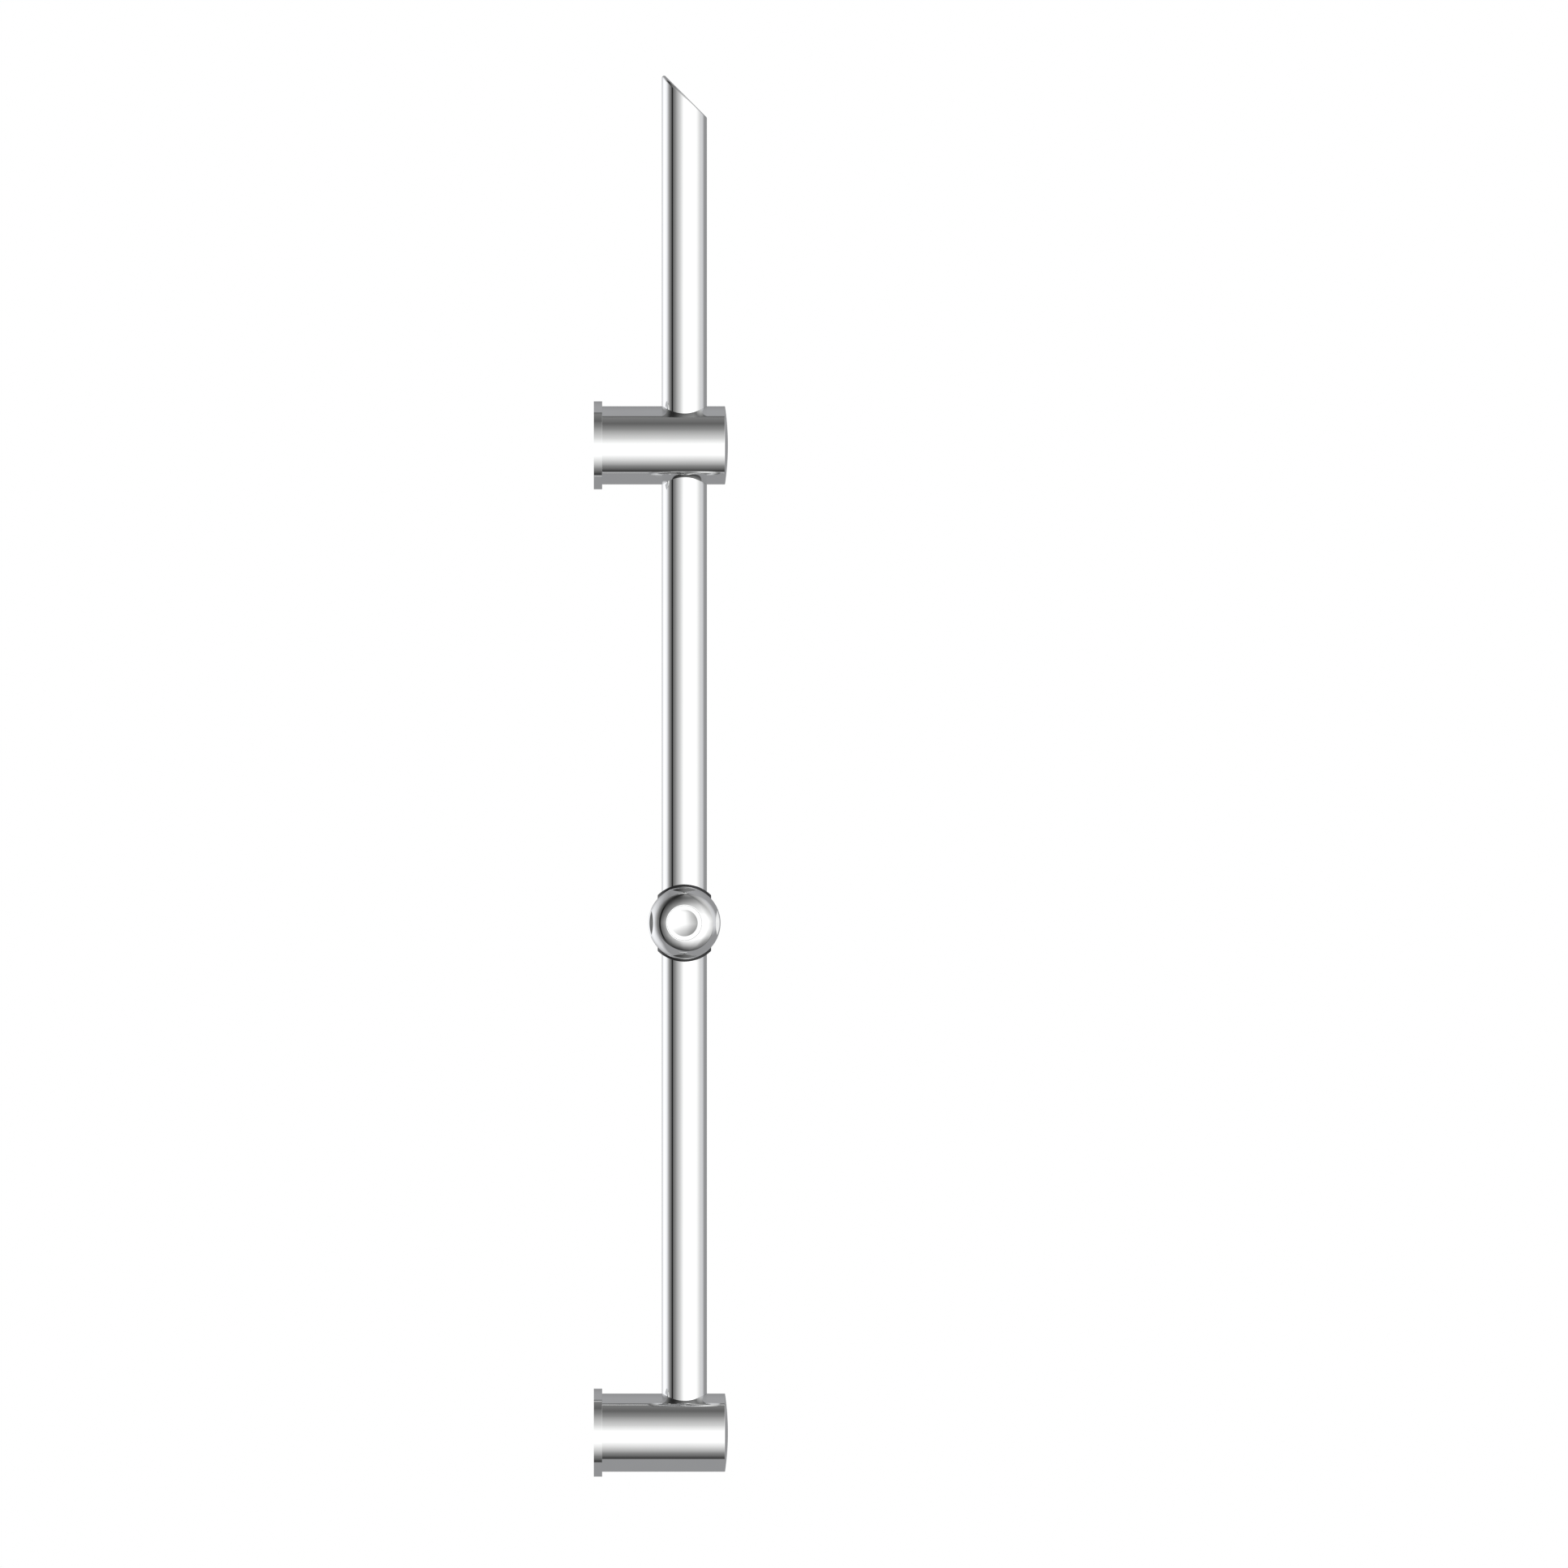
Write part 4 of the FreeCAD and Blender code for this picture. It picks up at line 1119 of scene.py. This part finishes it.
    def cap(self) -> Skin:
        """Cap with a shallow dimple, and the plug that holds it in the knob.

        Returns:
            The cap's patches.
        """
        skin = Skin()
        floor = self.face - self.cap_seat
        foot = floor - self.plug_length
        soft = self.cap_radius - self.cap_edge
        ball = self.face + math.sqrt(self.dimple_radius**2 - self.dimple**2)
        outline = Outline(0.0, floor).line(self.plug_bore, floor).line(self.plug_bore, foot)
        outline.line(self.plug_radius, foot).line(self.plug_radius, floor).line(self.cap_radius, floor)
        outline.line(self.cap_radius, self.face - self.cap_edge)
        outline.arc(soft, self.face, (soft, self.face - self.cap_edge), self.edge_rows)
        outline.line(self.dimple, self.face)
        outline.arc(0.0, ball - self.dimple_radius, (0.0, ball), self.dimple_rows)
        skin.turn(self.axis, outline, full_circle(self.cap_columns))
        return skin


def radians(stops: Stops) -> Stops:
    """Stops whose places are written in degrees, turned to radians."""
    return tuple((math.radians(place), level) for place, level in stops)


@dataclass
class Studio:
    """White studio: a soft lamp in front, dim walls, a dark flag, a window, a floor and the camera.

    The studio's light is given by direction, as stops of a place and the level there. Azimuth runs
    from the camera's side, -Y, towards +X, and elevation runs up, both in degrees. Places in a corner
    are the direction's height times how far it points to that side.

    Attributes:
        lamp_across, lamp_upright: lamp in front, by azimuth and by elevation.
        lamp_right, lamp_left: factors of the lamp in the right and the left corners.
        right_wall, right_wall_span: wall on the right, by azimuth and by elevation.
        rear_direction: direction of the rear, with its length as the sharpness of where it begins.
        rear_level, rear_left: light of the rear by height, and its factor in the left corners.
        rear_share, front_share: shares of the rear and of the lamp along the rear's direction.
        rear_tint: tint of the rear.
        window, window_span: window on the left, by azimuth and by elevation.
        flag, flag_span: dark flag beside the lamp, by azimuth and by elevation.
        floor_gap, floor_size: drop of the floor below the part, and its width.
        view_width, view_middle, view_distance: width, middle (X, Z) and distance of the view.
    """

    lamp_across: Stops = (
        (-180.0, 1.0), (-100.0, 0.175), (-55.0, 0.178), (-46.0, 0.27), (-20.0, 0.66), (-4.0, 1.0),
        (20.0, 1.2), (48.0, 1.35), (66.0, 0.97), (87.0, 0.69), (180.0, 1.0),
    )
    lamp_upright: Stops = (
        (-80.0, 0.055), (-74.0, 0.125), (-64.0, 0.24), (-27.0, 1.08), (3.0, 1.08), (21.0, 0.66),
        (50.0, 0.25), (67.0, 0.123), (90.0, 0.205),
    )
    lamp_right: Stops = ((-0.5, 0.53), (-0.38, 0.82), (-0.18, 1.0), (0.0, 1.0), (0.15, 1.12), (0.45, 1.27))
    lamp_left: Stops = ((-0.12, 0.87), (0.0, 1.0), (0.16, 0.92), (0.3, 1.05))
    right_wall: Stops = (
        (55.0, 0.0), (70.0, 0.52), (90.0, 0.72), (106.0, 0.655), (121.0, 0.355), (128.0, 0.0),
    )
    right_wall_span: Stops = (
        (-40.0, 0.0), (-5.0, 1.0), (5.0, 1.0), (44.0, 0.88), (58.0, 0.71), (90.0, 0.18),
    )
    rear_direction: Triple = (0.0, 3.3, -0.33)
    rear_level: Stops = ((-1.0, 0.31), (0.4, 0.3), (0.85, 0.36))
    rear_left: Stops = ((0.0, 1.0), (0.45, 0.7))
    rear_share: Stops = ((-0.066, 0.0), (0.1, 1.0))
    front_share: Stops = ((-0.165, 1.0), (0.0, 0.0))
    rear_tint: Triple = (0.985, 0.99, 1.018)
    window: Stops = (
        (-180.0, 0.0), (-160.0, 0.62), (-132.0, 1.1), (-118.0, 1.1), (-104.0, 0.95), (-91.0, 0.52),
        (-80.0, 0.232), (-75.0, 0.18), (-72.0, 0.0),
    )
    window_span: Stops = (
        (-60.0, 0.0), (-40.0, 0.65), (-10.0, 1.0), (5.0, 1.0), (45.0, 0.35), (60.0, 0.22), (90.0, 0.12),
    )
    flag: Stops = ((-72.5, 1.0), (-67.0, 0.06), (-63.0, 0.06), (-57.5, 1.0))
    flag_span: Stops = ((-54.0, 1.0), (-30.0, 0.0), (30.0, 0.0), (58.0, 1.0))
    floor_gap: float = 20.0 * MM
    floor_size: float = 6.0
    view_width: float = 765.8 * MM
    view_middle: tuple[float, float] = (92.9 * MM, 316.8 * MM)
    view_distance: float = 1.5

    RIGHT: ClassVar[Triple] = (1.0, 0.0, 0.0)
    AHEAD: ClassVar[Triple] = (0.0, -1.0, 0.0)
    UP: ClassVar[Triple] = (0.0, 0.0, 1.0)
    ABOVE_ZERO: ClassVar[Stops] = ((0.0, 0.0), (1.0, 1.0))
    BELOW_ZERO: ClassVar[Stops] = ((-1.0, 1.0), (0.0, 0.0))

    def build(self) -> None:
        """Sets the view transform and makes the surround, the floor and the camera."""
        bpy.context.scene.view_settings.view_transform = "Standard"
        self.surround()
        self.floor()
        self.camera()
        LOG.info("studio: surround, floor and camera")

    def surround(self) -> None:
        """Lights the scene evenly in white, and shows the studio's lamp and walls in polished metal."""
        world = bpy.data.worlds.new("white_studio")
        bpy.context.scene.world = world
        world.use_nodes = True
        world.cycles.sampling_method = "NONE"
        tree = world.node_tree
        graph = Graph(tree)
        studio = graph.node("Background", {"Color": self.light(graph)})
        white = tree.nodes["Background"]
        graph.fill(white, {"Color": grey(1.0)})
        glossy = graph.node("LightPath", {}).outputs["Is Glossy Ray"]
        lights = {1: white.outputs["Background"], 2: studio.outputs["Background"]}
        choice = graph.node("MixShader", {"Fac": glossy, **lights})
        graph.fill(tree.nodes["World Output"], {"Surface": choice.outputs["Shader"]})

    def light(self, graph: Graph) -> Socket:
        """Light of the studio by direction.

        Args:
            graph: graph of the world's shader.

        Returns:
            The light's colour.
        """
        direction = graph.node("TexCoord", {}).outputs["Generated"]
        sideways, ahead, height = (graph.dot(direction, axis) for axis in (self.RIGHT, self.AHEAD, self.UP))
        azimuth = graph.math(Operation.ARCTAN2, sideways, ahead)
        bearing = (azimuth, graph.math(Operation.ARCSINE, height))
        right = graph.product(graph.ramp(sideways, self.ABOVE_ZERO), height)
        left = graph.product(graph.ramp(sideways, self.BELOW_ZERO), height)
        # Below the horizon the rear begins further back on the right than on the left.
        skew = graph.product(sideways, graph.ramp(height, self.BELOW_ZERO))
        depth = graph.math(Operation.SUBTRACT, graph.dot(direction, self.rear_direction), skew)
        lamp = graph.product(
            *self.limits(graph, bearing, self.lamp_across, self.lamp_upright),
            graph.ramp(right, self.lamp_right),
            graph.ramp(left, self.lamp_left),
            graph.ramp(depth, self.front_share),
        )
        share = graph.ramp(depth, self.rear_share)
        rear = graph.product(graph.ramp(height, self.rear_level), share, graph.ramp(left, self.rear_left))
        lit = graph.math(Operation.ADD, lamp, rear)
        for across, upright in ((self.right_wall, self.right_wall_span), (self.window, self.window_span)):
            patch = graph.product(*self.limits(graph, bearing, across, upright))
            lit = graph.math(Operation.MAXIMUM, lit, patch)
        flag = graph.math(Operation.MAXIMUM, *self.limits(graph, bearing, self.flag, self.flag_span))
        return graph.tinted(graph.product(lit, flag), share, self.rear_tint)

    def limits(
        self, graph: Graph, bearing: tuple[Socket, Socket], across: Stops, upright: Stops
    ) -> tuple[Socket, Socket]:
        """Levels of a patch of the surround by azimuth and by elevation, from stops in degrees."""
        azimuth, elevation = bearing
        return graph.ramp(azimuth, radians(across)), graph.ramp(elevation, radians(upright))

    def floor(self) -> None:
        """Plain pale floor, which shows the shadow and stays out of the metal's reflections."""
        half = self.floor_size / 2.0
        height = CAD_BOX[0].z - self.floor_gap
        mesh = bpy.data.meshes.new("studio_floor")
        corners = [(x, y, height) for x, y in ((-half, -half), (half, -half), (half, half), (-half, half))]
        mesh.from_pydata(corners, [], [(0, 1, 2, 3)])
        floor = bpy.data.objects.new("studio_floor", mesh)
        bpy.context.scene.collection.objects.link(floor)
        mesh.materials.append(FLOOR_PAINT.material())
        floor.visible_glossy = False

    def camera(self) -> None:
        """Flat side view along +Y, as the photograph has it."""
        lens = bpy.data.cameras.new("side_view")
        lens.type = "ORTHO"
        lens.ortho_scale = self.view_width
        camera = bpy.data.objects.new("side_view", lens)
        camera.location = (self.view_middle[0], -self.view_distance, self.view_middle[1])
        camera.rotation_euler = (QUARTER_TURN, 0.0, 0.0)
        bpy.context.scene.collection.objects.link(camera)
        bpy.context.scene.camera = camera


def main() -> None:
    """Builds the sub-assemblies and the studio in order."""
    logging.basicConfig(level=logging.INFO, format="%(message)s")
    Rail().build()
    Bracket(Side.UPPER, rail_through=True).build()
    Bracket(Side.LOWER, rail_through=False).build()
    Slider().build()
    Knob().build()
    Studio().build()


if __name__ == "__main__":
    main()
